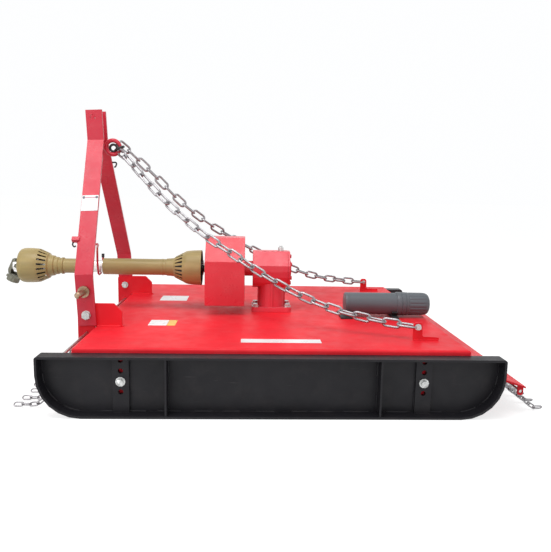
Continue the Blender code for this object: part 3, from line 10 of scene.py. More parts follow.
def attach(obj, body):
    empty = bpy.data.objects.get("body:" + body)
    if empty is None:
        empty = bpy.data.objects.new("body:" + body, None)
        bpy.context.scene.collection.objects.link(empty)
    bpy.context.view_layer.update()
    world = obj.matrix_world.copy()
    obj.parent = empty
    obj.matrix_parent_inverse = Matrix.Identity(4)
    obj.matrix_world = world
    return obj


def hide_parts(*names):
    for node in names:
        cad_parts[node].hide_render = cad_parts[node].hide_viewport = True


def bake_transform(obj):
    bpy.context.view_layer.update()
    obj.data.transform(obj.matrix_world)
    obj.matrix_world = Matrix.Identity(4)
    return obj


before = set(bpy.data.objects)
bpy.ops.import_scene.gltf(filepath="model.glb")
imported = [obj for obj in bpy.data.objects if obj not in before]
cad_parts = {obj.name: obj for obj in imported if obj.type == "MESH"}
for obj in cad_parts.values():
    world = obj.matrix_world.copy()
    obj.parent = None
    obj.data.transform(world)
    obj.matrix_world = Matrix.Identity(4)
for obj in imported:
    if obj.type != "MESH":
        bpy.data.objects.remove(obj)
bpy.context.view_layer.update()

# Studio: a white floor, a broad lamp overhead, a weaker one in front and an even white world. The
# camera stands at the left side of the machine, a little above it and turned slightly to the rear.
CAMERA_PLACE = (-0.002, -2.354, 0.682)
CAMERA_YAW = math.radians(2.67)
CAMERA_PITCH = math.radians(8.34)
CAMERA_ROLL = math.radians(-1.18)
FOCAL_IN_FRAME_WIDTHS = 600.0 / 551.0
SENSOR_MM = 36.0

lens = bpy.data.cameras.new("view")
lens.sensor_fit = "HORIZONTAL"
lens.sensor_width = SENSOR_MM
lens.lens = SENSOR_MM * FOCAL_IN_FRAME_WIDTHS
lens.clip_end = 100.0
camera = bpy.data.objects.new("view", lens)
bpy.context.scene.collection.objects.link(camera)
ahead = Vector((math.sin(CAMERA_YAW) * math.cos(CAMERA_PITCH),
                math.cos(CAMERA_YAW) * math.cos(CAMERA_PITCH), -math.sin(CAMERA_PITCH)))
level = Vector((math.cos(CAMERA_YAW), -math.sin(CAMERA_YAW), 0.0))
down = ahead.cross(level)
right = level * math.cos(CAMERA_ROLL) + down * math.sin(CAMERA_ROLL)
up = level * math.sin(CAMERA_ROLL) - down * math.cos(CAMERA_ROLL)
camera.matrix_world = (Matrix.Translation(CAMERA_PLACE)
                       @ Matrix((right, up, -ahead)).transposed().to_4x4())
bpy.context.scene.camera = camera
bpy.context.scene.view_settings.view_transform = "Standard"


def soft_lamp(name, place, aim, width, depth, power):
    """A broad lamp that faces a point."""
    data = bpy.data.lights.new(name, "AREA")
    data.shape = "RECTANGLE"
    data.size = width
    data.size_y = depth
    data.energy = power
    lamp = bpy.data.objects.new(name, data)
    lamp.location = place
    lamp.rotation_euler = (Vector(aim) - Vector(place)).to_track_quat("-Z", "Y").to_euler()
    bpy.context.scene.collection.objects.link(lamp)


soft_lamp("overhead", place=(-0.6, -1.1, 3.2), aim=(-0.6, -0.9, 0.3), width=2.6, depth=1.6, power=62.0)
soft_lamp("front_fill", place=(-2.2, -2.8, 1.6), aim=(0.0, 0.0, 0.3), width=1.6, depth=1.6, power=22.0)


def worked_out(nodes, links, operation, one, other):
    """The result of a sum on two values, the second a socket or a plain number."""
    made = nodes.new("ShaderNodeMath")
    made.operation = operation
    links.new(one, made.inputs[0])
    if isinstance(other, float):
        made.inputs[1].default_value = other
    else:
        links.new(other, made.inputs[1])
    return made.outputs[0]


def behind_white(nodes, links, shader, strength):
    """Where the camera, a mirror or glass looks, a plain white of this strength is added."""
    ray = nodes.new("ShaderNodeLightPath").outputs
    seen = worked_out(nodes, links, "MAXIMUM", ray["Is Camera Ray"], ray["Is Glossy Ray"])
    seen = worked_out(nodes, links, "MAXIMUM", seen, ray["Is Transmission Ray"])
    white = nodes.new("ShaderNodeEmission")
    white.inputs["Color"].default_value = (1.0, 1.0, 1.0, 1.0)
    links.new(worked_out(nodes, links, "MULTIPLY", seen, strength), white.inputs["Strength"])
    both = nodes.new("ShaderNodeAddShader")
    links.new(shader, both.inputs[0])
    links.new(white.outputs[0], both.inputs[1])
    return both.outputs[0]


WORLD_LIGHT, WORLD_BACKGROUND = 0.56, 0.44
FLOOR_GREY, FLOOR_BACKGROUND = 0.50, 0.72
FLOOR_REACH, FLOOR_DROP = 30, 0.0005

world = bpy.data.worlds.new("studio")
bpy.context.scene.world = world
world.use_nodes = True
sky_nodes, sky_links = world.node_tree.nodes, world.node_tree.links
sky = sky_nodes["Background"]
sky.inputs["Color"].default_value = (0.98, 0.99, 1.0, 1.0)
sky.inputs["Strength"].default_value = WORLD_LIGHT
sky_links.new(behind_white(sky_nodes, sky_links, sky.outputs[0], WORLD_BACKGROUND),
              sky_nodes["World Output"].inputs["Surface"])

floor_mesh = bpy.data.meshes.new("floor")
floor_mesh.from_pydata([(x * FLOOR_REACH, y * FLOOR_REACH, 0)
                        for x, y in ((-1, -1), (1, -1), (1, 1), (-1, 1))], [], [(0, 1, 2, 3)])
floor = bpy.data.objects.new("floor", floor_mesh)
floor.location.z = -FLOOR_DROP
bpy.context.scene.collection.objects.link(floor)
floor_paint = bpy.data.materials.new("pale_floor")
floor_paint.use_nodes = True
floor_nodes, floor_links = floor_paint.node_tree.nodes, floor_paint.node_tree.links
floor_shader = floor_nodes["Principled BSDF"]
floor_shader.inputs["Base Color"].default_value = (FLOOR_GREY, FLOOR_GREY, FLOOR_GREY, 1.0)
floor_shader.inputs["Roughness"].default_value = 1.0
floor_shader.inputs["Specular IOR Level"].default_value = 0.0
floor_links.new(behind_white(floor_nodes, floor_links, floor_shader.outputs[0], FLOOR_BACKGROUND),
                floor_nodes["Material Output"].inputs["Surface"])
floor.data.materials.append(floor_paint)

# Deck: one sheet folded down on all four sides, with its corners welded, in red powder coat. The
# coat has a fine orange peel, soft clouds of tone and a little dust.
DECK_MIDDLE_X = 0.081
DECK_TOP = 0.201
DECK_HALF_LENGTH = 0.6035
DECK_HALF_WIDTH = 0.600
SKIRT_FOOT = {-1: 0.152, 1: 0.122}
SKIRT_WELD_TOP = 0.190
DECK_RED = (0.88, 0.021, 0.035)
# The mast's red is a shade pinker than the deck's: painted sheen for its sloping faces.
PAINTED_SHEEN_RED = (0.68, 0.026, 0.056)


def noise(nodes, links, coords, scale, detail, roughness=0.5):
    """Noise in the piece's own coordinates; the scale is in waves to the metre."""
    made = nodes.new("ShaderNodeTexNoise")
    made.inputs["Scale"].default_value = scale
    made.inputs["Detail"].default_value = detail
    made.inputs["Roughness"].default_value = roughness
    links.new(coords, made.inputs["Vector"])
    return made.outputs["Fac"]


def spread(nodes, links, value, low, high, start=0.0, end=1.0):
    """A value from start to end, carried to low to high."""
    made = nodes.new("ShaderNodeMapRange")
    made.inputs["From Min"].default_value = start
    made.inputs["From Max"].default_value = end
    made.inputs["To Min"].default_value = low
    made.inputs["To Max"].default_value = high
    links.new(value, made.inputs["Value"])
    return made.outputs["Result"]


def blended(nodes, links, share, one, other):
    """One colour where the share is 0 and the other where it is 1."""
    made = nodes.new("ShaderNodeMix")
    made.data_type = "RGBA"
    links.new(share, made.inputs["Factor"])
    for socket, colour in ((made.inputs[6], one), (made.inputs[7], other)):
        if isinstance(colour, tuple):
            socket.default_value = (*colour, 1.0)
        else:
            links.new(colour, socket)
    return made.outputs[2]


def opened(coat):
    """A finish's nodes and links, its shader, and the coordinates of the piece that wears it."""
    coat.use_nodes = True
    nodes, links = coat.node_tree.nodes, coat.node_tree.links
    return nodes, links, nodes["Principled BSDF"], nodes.new("ShaderNodeTexCoord").outputs["Object"]


def eased_skin(nodes, links, coords, shader, edge, strength, depth, grain, detail):
    """Edges eased to a radius, and a fine unevenness over the whole face."""
    rounded = nodes.new("ShaderNodeBevel")
    rounded.samples = 4
    rounded.inputs["Radius"].default_value = edge
    uneven = nodes.new("ShaderNodeBump")
    uneven.inputs["Strength"].default_value = strength
    uneven.inputs["Distance"].default_value = depth
    links.new(noise(nodes, links, coords, grain, detail), uneven.inputs["Height"])
    links.new(rounded.outputs["Normal"], uneven.inputs["Normal"])
    links.new(uneven.outputs["Normal"], shader.inputs["Normal"])


def powder_coat(name, colour, roughness=0.32, peel=0.35, dust=0.10, gloss=0.35, edge=0.0012):
    """Sprayed paint: soft clouds of tone, orange peel, a little dust and eased edges."""
    made = bpy.data.materials.new(name)
    nodes, links, shader, coords = opened(made)
    deep = tuple(c * 0.86 for c in colour)
    light = tuple(min(1.0, c * 1.07 + 0.004) for c in colour)
    clouds = noise(nodes, links, coords, 5.0, 5.0)
    tone = blended(nodes, links, spread(nodes, links, clouds, 0.0, 1.0, 0.3, 0.7), deep, light)
    settled = spread(nodes, links, noise(nodes, links, coords, 17.0, 9.0, 0.65), 0.0, dust, 0.50, 0.78)
    dusty = blended(nodes, links, settled, tone, (0.62, 0.50, 0.45))
    links.new(dusty, shader.inputs["Base Color"])
    links.new(spread(nodes, links, noise(nodes, links, coords, 23.0, 6.0), roughness - 0.06,
                     roughness + 0.10, 0.35, 0.75), shader.inputs["Roughness"])
    shader.inputs["Specular IOR Level"].default_value = gloss
    eased_skin(nodes, links, coords, shader, edge, peel, 0.0004, grain=420.0, detail=2.0)
    return made


def finish(material, *names):
    """Give CAD nodes their finish."""
    for name in names:
        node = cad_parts[name]
        node.data.materials.clear()
        node.data.materials.append(material)


def piece(name, mesh, material, body, smooth=None, stands_for=()):
    """A finished mesh in the row frame becomes a piece that moves with a body, if it is given one."""
    made = bpy.data.objects.new(name, mesh)
    bpy.context.scene.collection.objects.link(made)
    mesh.materials.clear()
    mesh.materials.append(material)
    if smooth is not None:
        mesh.shade_smooth()
        mesh.set_sharp_from_angle(angle=math.radians(smooth))
    if body:
        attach(made, body)
    if stands_for:
        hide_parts(*stands_for)
    return made


deck_coat = powder_coat("deck_coat", DECK_RED, roughness=0.46, gloss=0.14, dust=0.04)
finish(deck_coat, "deck")


def band(bm, one, two):
    """Faces between two rings that have as many points."""
    for n in range(len(one)):
        m = (n + 1) % len(one)
        bm.faces.new((one[n], one[m], two[m], two[n]))


def outward_mesh(name, bm):
    """The mesh of what was built, with every face turned outwards."""
    bmesh.ops.recalc_face_normals(bm, faces=bm.faces)
    mesh = bpy.data.meshes.new(name)
    bm.to_mesh(mesh)
    bm.free()
    return mesh


RINGS_PER_SCALE = 4
SCALE_SWELL, SCALE_PLAY = 0.16, 0.07
BEAD_END = 0.35
CORNER_INSET, CORNER_BEAD = 0.002, 0.0028


def bead(name, runs, radius, material, body, wave=0.007, sides=8, seed=1):
    """Weld beads along runs of points, each laid in overlapping scales."""
    rng = random.Random(seed)
    bm = bmesh.new()
    for run in runs:
        points = [Vector(p) for p in run]
        lengths = [0.0]
        for a, b in zip(points, points[1:]):
            lengths.append(lengths[-1] + (b - a).length)
        steps = max(4, int(lengths[-1] / wave * RINGS_PER_SCALE))
        rings = []
        for k in range(steps + 1):
            distance = lengths[-1] * k / steps
            i = max(j for j in range(len(points) - 1) if lengths[j] <= distance + 1e-9)
            share = (distance - lengths[i]) / (lengths[i + 1] - lengths[i])
            along = (points[i + 1] - points[i]).normalized()
            middle = points[i].lerp(points[i + 1], share)
            side = along.cross(Vector((0.31, 0.17, 0.93))).normalized()
            other = along.cross(side)
            swell = SCALE_SWELL * ((k % RINGS_PER_SCALE) / RINGS_PER_SCALE)
            scale = radius * (1.0 + swell + rng.uniform(-SCALE_PLAY, SCALE_PLAY))
            if k in (0, steps):
                scale *= BEAD_END
            rings.append([bm.verts.new(middle + (side * math.cos(t) + other * math.sin(t)) * scale)
                          for t in [2 * math.pi * n / sides for n in range(sides)]])
        for one, two in zip(rings, rings[1:]):
            band(bm, one, two)
        bm.faces.new(rings[0][::-1])
        bm.faces.new(rings[-1])
    return piece(name, outward_mesh(name, bm), material, body, smooth=60)


corner_x, corner_y = DECK_HALF_LENGTH - CORNER_INSET, DECK_HALF_WIDTH - CORNER_INSET
bead("deck_corner_welds",
     [[(DECK_MIDDLE_X + sx * corner_x, sy * corner_y, z) for z in (SKIRT_FOOT[sx], SKIRT_WELD_TOP)]
      for sx in (-1, 1) for sy in (-1, 1)], CORNER_BEAD, deck_coat, "deck_frame")

# Skids: flat bar bent round a web plate, welded on the outer face in short runs and sprayed satin
# black. Two drilled bars take the height bolts and two gussets stiffen each web.
SKID_WEB_FACE_Y = 0.6048
SKID_HALF_LENGTH = 0.697
SKID_TOE_RADIUS = 0.130
SKID_RIM = 0.007
GUSSET_X, GUSSET_WELD = 0.320, 0.0036
BAR_X, BAR_WELD = 0.457, 0.0252
GUSSET_WELD_HEIGHTS = ((0.014, 0.060), (0.120, 0.172))
BAR_WELD_HEIGHTS = ((0.020, 0.074),)
FOOT_WELDS = (-0.520, 0.50)
FOOT_WELD_LENGTH, FOOT_WELD_GAP = (0.045, 0.095), (0.012, 0.055)
FACE_STAND, RIM_STAND, TOE_STAND = 0.0005, 0.0008, 0.001
TOE_WELDS = ((-84, -58), (-50, -26), (-18, -2))
SKID_BEAD = 0.0030
SKID_BLACK = (0.012, 0.0112, 0.0145)


def worn_black(name):
    """Satin black over steel, faintly dusty and scuffed in fine slanting lines."""
    made = powder_coat(name, SKID_BLACK, roughness=0.44, peel=0.30, dust=0.015, gloss=0.26, edge=0.0015)
    nodes, links, shader, coords = opened(made)
    stretch = nodes.new("ShaderNodeMapping")
    stretch.inputs["Rotation"].default_value = (0.0, math.radians(24.0), 0.0)
    stretch.inputs["Scale"].default_value = (9.0, 60.0, 150.0)
    links.new(coords, stretch.inputs["Vector"])
    scuffs = noise(nodes, links, stretch.outputs["Vector"], 1.0, 3.0)
    lines = spread(nodes, links, scuffs, 0.0, 0.22, 0.71, 0.80)
    painted = shader.inputs["Base Color"].links[0].from_socket
    links.new(blended(nodes, links, lines, painted, (0.16, 0.155, 0.15)), shader.inputs["Base Color"])
    return made


skid_coat = worn_black("skid_coat")
finish(skid_coat, "skid_left", "skid_right")
for side, hand in ((-1, "left"), (1, "right")):
    weld_y = side * (SKID_WEB_FACE_Y + FACE_STAND)
    rim_z = SKID_RIM + RIM_STAND
    foot_runs = []
    weld_rng = random.Random(40 + side)
    x = FOOT_WELDS[0]
    while x < FOOT_WELDS[1]:
        run = weld_rng.uniform(*FOOT_WELD_LENGTH)
        foot_runs.append([(DECK_MIDDLE_X + x, weld_y, rim_z),
                          (DECK_MIDDLE_X + x + run, weld_y, rim_z)])
        x += run + weld_rng.uniform(*FOOT_WELD_GAP)
    for end in (-1, 1):
        centre_x, centre_z = end * (SKID_HALF_LENGTH - SKID_TOE_RADIUS), SKID_TOE_RADIUS
        reach = SKID_TOE_RADIUS - SKID_RIM - TOE_STAND
        for first, last in TOE_WELDS:
            turns = [math.radians(a) for a in range(first, last + 1, 4)]
            foot_runs.append([(DECK_MIDDLE_X + centre_x + end * reach * math.cos(turn), weld_y,
                               centre_z + reach * math.sin(turn)) for turn in turns])
        for middle, half, welds in ((GUSSET_X, GUSSET_WELD, GUSSET_WELD_HEIGHTS),
                                    (BAR_X, BAR_WELD, BAR_WELD_HEIGHTS)):
            for offset in (-half, half):
                for heights in welds:
                    foot_runs.append([(DECK_MIDDLE_X + end * middle + offset, weld_y, z)
                                      for z in heights])
    bead(f"skid_welds_{hand}", foot_runs, SKID_BEAD, skid_coat, "deck_frame", wave=0.006,
         sides=6, seed=7 + side)

# Fasteners: steel bolts, nuts and washers with a bright zinc plating. They are screwed up at the
# skids, the mast's pivots, the chain lugs, the gearbox and the rotor.
ZINC = (0.66, 0.67, 0.66)


def plated(name, colour, roughness, mottle=0.25, metallic=1.0, bump_size=260.0, bump=0.15):
    """Plated or bare steel: small patches of tone, fine scratches in the shine, eased edges."""
    made = bpy.data.materials.new(name)
    nodes, links, shader, coords = opened(made)
    dark = tuple(c * (1.0 - mottle) for c in colour)
    patches = spread(nodes, links, noise(nodes, links, coords, 90.0, 6.0), 0.0, 1.0, 0.35, 0.65)
    links.new(blended(nodes, links, patches, colour, dark), shader.inputs["Base Color"])
    shader.inputs["Metallic"].default_value = metallic
    links.new(spread(nodes, links, noise(nodes, links, coords, 160.0, 5.0), roughness - 0.08,
                     roughness + 0.14, 0.35, 0.7), shader.inputs["Roughness"])
    eased_skin(nodes, links, coords, shader, 0.0006, bump, 0.0003, grain=bump_size, detail=3.0)
    return made


zinc = plated("zinc_plate", ZINC, 0.34)
finish(zinc, *[f"skid_bolt_{end}_{hand}" for end in ("front", "rear") for hand in ("left", "right")],
       "mast_pivot_bolt_left", "mast_pivot_bolt_right", "chain_bolt_left", "chain_bolt_right",
       "gearbox_bolt_front_left", "gearbox_bolt_front_right", "gearbox_bolt_rear_left",
       "gearbox_bolt_rear_right", "gearbox_filler_plug", "carrier_nut", "blade_bolt_1", "blade_bolt_2")

# Hitch brackets: two plates of 10 mm steel that hold the mast's pivot bolts. They are welded over
# the deck's front edge, with a fillet along both sides, and sprayed with the deck.
BRACKET_MIDDLE_Y = 0.3197
BRACKET_TOP_WELD = (-0.596, -0.514)
BRACKET_FRONT_WELD_X, BRACKET_END_WELD_X = 0.6050, 0.5098
BRACKET_FOOT = 0.153
BRACKET_WELD, HALF_END_WELD = 0.0058, 0.005
WELD_STAND = 0.0012
BRACKET_BEAD = 0.0042
finish(deck_coat, "hitch_bracket_left", "hitch_bracket_right")
bracket_runs = []
for side in (-1, 1):
    middle_y = side * BRACKET_MIDDLE_Y
    for face in (-BRACKET_WELD, BRACKET_WELD):
        y = middle_y + face
        bracket_runs.append([(DECK_MIDDLE_X + x, y, DECK_TOP + WELD_STAND) for x in BRACKET_TOP_WELD])
        bracket_runs.append([(DECK_MIDDLE_X - BRACKET_FRONT_WELD_X, y, z)
                             for z in (BRACKET_FOOT, SKIRT_WELD_TOP)])
    bracket_runs.append([(DECK_MIDDLE_X - BRACKET_END_WELD_X, y, DECK_TOP + WELD_STAND)
                         for y in (middle_y - HALF_END_WELD, middle_y + HALF_END_WELD)])
bead("bracket_welds", bracket_runs, BRACKET_BEAD, deck_coat, "deck_frame", wave=0.006,
     seed=3)

# Mast legs: flat bar bent twice and sprayed red. Their red is made a shade pinker than the deck's:
# painted sheen that stands for the shine of the sloping faces. The left leg carries a blank film label
# at about its middle.
LEG_FOOT = (-0.6255, 0.206)
LEG_LEAN = math.radians(2.9)
LEG_LOWER_BEND = (0.335, 0.380)
LEG_UPPER_BEND = (0.036, 0.846)
LEG_WIDTH = 0.060
LABEL_EDGE = 0.001
LABEL_HEIGHTS = (0.589, 0.643)
STRIPE_HEIGHTS = (0.6335, 0.6370)
PRINT_MARGIN = 0.006
DOT_HALF, DOT_HEIGHTS = 0.004, (0.6315, 0.6395)
FILM_THICKNESS, FILM_CORNER = 0.0003, 0.0015
# Pinker than the deck's red: painted sheen, also worn by the eye, the cradle hook and the lug.
mast_coat_painted_sheen = powder_coat("mast_coat_painted_sheen", PAINTED_SHEEN_RED, roughness=0.32, peel=0.26, dust=0.04, gloss=0.38)
finish(mast_coat_painted_sheen, "mast_leg_left", "mast_leg_right", "mast_chain_eye", "pto_cradle_hook")
lean = (Matrix.Translation((DECK_MIDDLE_X + LEG_FOOT[0], 0.0, LEG_FOOT[1]))
        @ Matrix.Rotation(-LEG_LEAN, 4, "Y") @ Matrix.Translation((0.0, 0.0, -LEG_FOOT[1])))


def on_left_leg(across, height, stand):
    """A point of the left leg's sloping outer face: across its width and up the mast."""
    (low_y, low_z), (high_y, high_z) = LEG_LOWER_BEND, LEG_UPPER_BEND
    share = (height - low_z) / (high_z - low_z)
    up_slope = Vector((0.0, low_y - high_y, high_z - low_z)).normalized()
    outward = Vector((0.0, -up_slope.z, up_slope.y))
    return lean @ (Vector((across, -low_y + share * (low_y - high_y), height)) + outward * stand)


def film(name, corners, colours, body):
    """A blank adhesive label: thin film with eased corners, laid over four corners."""
    bm = bmesh.new()
    corners = [Vector(c) for c in corners]
    normal = (corners[1] - corners[0]).cross(corners[3] - corners[0]).normalized()
    outline = []
    for i, corner in enumerate(corners):
        for other in (corners[i - 1], corners[(i + 1) % 4]):
            outline.append(corner + (other - corner).normalized() * FILM_CORNER)
    top = [bm.verts.new(p + normal * FILM_THICKNESS) for p in outline]
    low = [bm.verts.new(p) for p in outline]
    bm.faces.new(top)
    bm.faces.new(low[::-1])
    for i in range(len(top)):
        j = (i + 1) % len(top)
        bm.faces.new((top[j], top[i], low[i], low[j]))
    return piece(name, outward_mesh(name, bm), colours, body)


def film_paint(name, colour):
    """Printed vinyl: smooth, faintly clouded."""
    return powder_coat(name, colour, roughness=0.30, peel=0.08, dust=0.05, gloss=0.45, edge=0.0002)


white_film = film_paint("white_film", (0.86, 0.86, 0.86))
yellow_film = film_paint("yellow_film", (0.90, 0.52, 0.03))
grey_film = film_paint("grey_film", (0.10, 0.11, 0.15))
pink_film = film_paint("pink_film", (0.62, 0.30, 0.36))
half_label = LEG_WIDTH / 2 - LABEL_EDGE
half_print = half_label - PRINT_MARGIN


def leg_film(name, edges, heights, colour, stand):
    """A film on the left leg between two edges and two heights, standing off its face."""
    (front, rear), (low, high) = edges, heights
    return film(name, [on_left_leg(front, low, stand), on_left_leg(rear, low, stand),
                       on_left_leg(rear, high, stand), on_left_leg(front, high, stand)], colour, "mast")


leg_film("leg_label", (-half_label, half_label), LABEL_HEIGHTS, white_film, stand=0.0013)
leg_film("leg_label_bar", (-half_print, half_print), STRIPE_HEIGHTS, pink_film, stand=0.0018)
for name, edge in (("front", -half_print), ("rear", half_print)):
    leg_film("leg_label_dot_" + name, (edge - DOT_HALF, edge + DOT_HALF), DOT_HEIGHTS, grey_film,
             stand=0.0023)

# Lower link pins: turned steel pins of category 1 with a yellow passivated plating. Each is
# bolted through a mast leg, with its collar outside the leg and a nut inside.
yellow_zinc = plated("yellow_zinc", (0.44, 0.31, 0.21), 0.38, mottle=0.35)
finish(yellow_zinc, "lower_link_pin_left", "lower_link_pin_right")

# Brace chains: short-link galvanised chain, one from each side of the mast's eye to its lug at
# the rear of the deck. The links stand by turns flat and upright, and the chain sags a little.
# The links are one mesh that is given no body.
BRACE_PITCH = 0.050
BRACE_WIRE = 0.0043
BRACE_LINK = (0.068, 0.034)
BRACE_ROLLS, BRACE_ROLL_PLAY = (96.0, 12.0), 9.0
BEND_SHARE = 0.499
CHAIN_LUG_WELD, CHAIN_LUG_Y = (0.458, 0.540), 0.471
HALF_LUG_WELD = 0.0046
LUG_BEAD = 0.0026
BRACE_ROUTES = {
    "left": [(-0.578, -0.008, 0.806), (-0.548, -0.040, 0.788), (-0.407, -0.109, 0.643),
             (-0.259, -0.170, 0.521), (-0.135, -0.221, 0.444), (-0.052, -0.255, 0.393),
             (0.074, -0.307, 0.327), (0.211, -0.364, 0.279), (0.346, -0.419, 0.254),
             (0.462, -0.466, 0.245)],
    "right": [(-0.577, 0.008, 0.838), (-0.550, 0.042, 0.812), (-0.449, 0.092, 0.711),
              (-0.358, 0.130, 0.616), (-0.252, 0.173, 0.531), (-0.171, 0.206, 0.479),
              (-0.075, 0.246, 0.422), (0.115, 0.324, 0.325), (0.251, 0.380, 0.279),
              (0.399, 0.441, 0.253), (0.462, 0.466, 0.245)],
}


def galvanised(name, colour):
    """Hot dipped zinc: pale, dull, with the grain of the dip in grey spots."""
    made = plated(name, colour, 0.30, mottle=0.35, metallic=0.85, bump_size=900.0, bump=0.25)
    nodes, links, shader, coords = opened(made)
    spangle = nodes.new("ShaderNodeTexVoronoi")
    spangle.inputs["Scale"].default_value = 260.0
    links.new(coords, spangle.inputs["Vector"])
    grain = spread(nodes, links, spangle.outputs["Distance"], 0.0, 0.35, 0.1, 0.8)
    dipped = shader.inputs["Base Color"].links[0].from_socket
    links.new(blended(nodes, links, grain, dipped, (0.33, 0.315, 0.33)), shader.inputs["Base Color"])
    return made


chain_zinc = galvanised("chain_zinc", (0.43, 0.415, 0.43))


def smooth_route(points, steps):
    """A smooth curve that passes through the points."""
    ends = [Vector(p) for p in points]
    ends = [ends[0] * 2 - ends[1]] + ends + [ends[-1] * 2 - ends[-2]]
    route = []
    for i in range(1, len(ends) - 2):
        a, b, c, d = ends[i - 1:i + 3]
        for k in range(steps):
            t = k / steps
            route.append(0.5 * (2 * b + (c - a) * t + (2 * a - 5 * b + 4 * c - d) * t * t
                                + (3 * b - a - 3 * c + d) * t ** 3))
    return route + [ends[-2]]


def even_places(route, pitch):
    """Link middles a pitch apart along a route, each with the direction that it lies in."""
    lengths = [0.0]
    for a, b in zip(route, route[1:]):
        lengths.append(lengths[-1] + (b - a).length)
    count = max(2, round(lengths[-1] / pitch))

    def at(distance):
        """The point this far along the route."""
        distance = min(max(distance, 0.0), lengths[-1])
        i = max(j for j in range(len(lengths) - 1) if lengths[j] <= distance + 1e-9)
        return route[i].lerp(route[i + 1], (distance - lengths[i]) / (lengths[i + 1] - lengths[i]))

    step = lengths[-1] / count
    joints = [at(step * k) for k in range(count + 1)]
    return [((a + b) / 2, (b - a).normalized()) for a, b in zip(joints, joints[1:])]


def link_tree(name):
    """Node tree: one chain link, bent from round wire, on every point that comes in."""
    tree = bpy.data.node_groups.new(name, "GeometryNodeTree")
    tree.is_modifier = True
    sockets = {}
    for label, kind in (("Places", "NodeSocketGeometry"), ("Link length", "NodeSocketFloat"),
                        ("Link width", "NodeSocketFloat"), ("Wire radius", "NodeSocketFloat"),
                        ("Bend corners", "NodeSocketInt"), ("Wire sides", "NodeSocketInt"),
                        ("Finish", "NodeSocketMaterial")):
        sockets[label] = tree.interface.new_socket(label, in_out="INPUT", socket_type=kind).identifier
    tree.interface.new_socket("Chain", in_out="OUTPUT", socket_type="NodeSocketGeometry")
    nodes, links = tree.nodes, tree.links
    given = nodes.new("NodeGroupInput").outputs
    outline = nodes.new("GeometryNodeCurvePrimitiveQuadrilateral")
    corners = nodes.new("GeometryNodeFilletCurve")
    corners.mode = "POLY"
    round_wire = nodes.new("GeometryNodeCurvePrimitiveCircle")
    bent = nodes.new("GeometryNodeCurveToMesh")
    wire_width = worked_out(nodes, links, "MULTIPLY", given["Wire radius"], 2.0)
    along = worked_out(nodes, links, "SUBTRACT", given["Link length"], wire_width)
    across = worked_out(nodes, links, "SUBTRACT", given["Link width"], wire_width)
    links.new(along, outline.inputs["Width"])
    links.new(across, outline.inputs["Height"])
    links.new(outline.outputs["Curve"], corners.inputs["Curve"])
    links.new(worked_out(nodes, links, "MULTIPLY", across, BEND_SHARE), corners.inputs["Radius"])
    links.new(given["Bend corners"], corners.inputs["Count"])
    links.new(given["Wire sides"], round_wire.inputs["Resolution"])
    links.new(given["Wire radius"], round_wire.inputs["Radius"])
    links.new(corners.outputs["Curve"], bent.inputs["Curve"])
    links.new(round_wire.outputs["Curve"], bent.inputs["Profile Curve"])
    turn = nodes.new("GeometryNodeInputNamedAttribute")
    turn.data_type = "FLOAT_VECTOR"
    turn.inputs["Name"].default_value = "turn"
    rotation = nodes.new("FunctionNodeEulerToRotation")
    links.new(turn.outputs["Attribute"], rotation.inputs[0])
    placed = nodes.new("GeometryNodeInstanceOnPoints")
    links.new(given["Places"], placed.inputs["Points"])
    links.new(bent.outputs["Mesh"], placed.inputs["Instance"])
    links.new(rotation.outputs[0], placed.inputs["Rotation"])
    real = nodes.new("GeometryNodeRealizeInstances")
    links.new(placed.outputs["Instances"], real.inputs[0])
    shaded = nodes.new("GeometryNodeSetShadeSmooth")
    links.new(real.outputs[0], shaded.inputs[0])
    painted = nodes.new("GeometryNodeSetMaterial")
    links.new(shaded.outputs[0], painted.inputs["Geometry"])
    links.new(given["Finish"], painted.inputs["Material"])
    out = nodes.new("NodeGroupOutput")
    links.new(painted.outputs[0], out.inputs["Chain"])
    return tree, sockets


chain_tree, chain_sockets = link_tree("chain_links")


def chain(name, places, length, width, wire, bends, sides, material, body, slot, stands_for):
    """Links on (middle, direction, roll in degrees) places, made a plain mesh."""
    seeds = bpy.data.meshes.new(name + "_places")
    seeds.from_pydata([tuple(middle) for middle, direction, roll in places], [], [])
    turns = seeds.attributes.new("turn", "FLOAT_VECTOR", "POINT")
    for k, (middle, direction, roll) in enumerate(places):
        frame_turn = direction.to_track_quat("X", "Z").to_matrix()
        angles = (frame_turn @ Matrix.Rotation(math.radians(roll), 3, "X")).to_euler()
        turns.data[k].vector = tuple(angles)
    holder = bpy.data.objects.new(name + "_holder", seeds)
    bpy.context.scene.collection.objects.link(holder)
    made = holder.modifiers.new("links", "NODES")
    made.node_group = chain_tree
    for label, value in (("Link length", length), ("Link width", width), ("Wire radius", wire),
                         ("Bend corners", bends), ("Wire sides", sides), ("Finish", material)):
        made[chain_sockets[label]] = value
    graph = bpy.context.evaluated_depsgraph_get()
    mesh = bpy.data.meshes.new_from_object(holder.evaluated_get(graph))
    bpy.data.objects.remove(holder, do_unlink=True)
    mesh.name = name
    return piece(name, mesh, material, body, stands_for=stands_for)


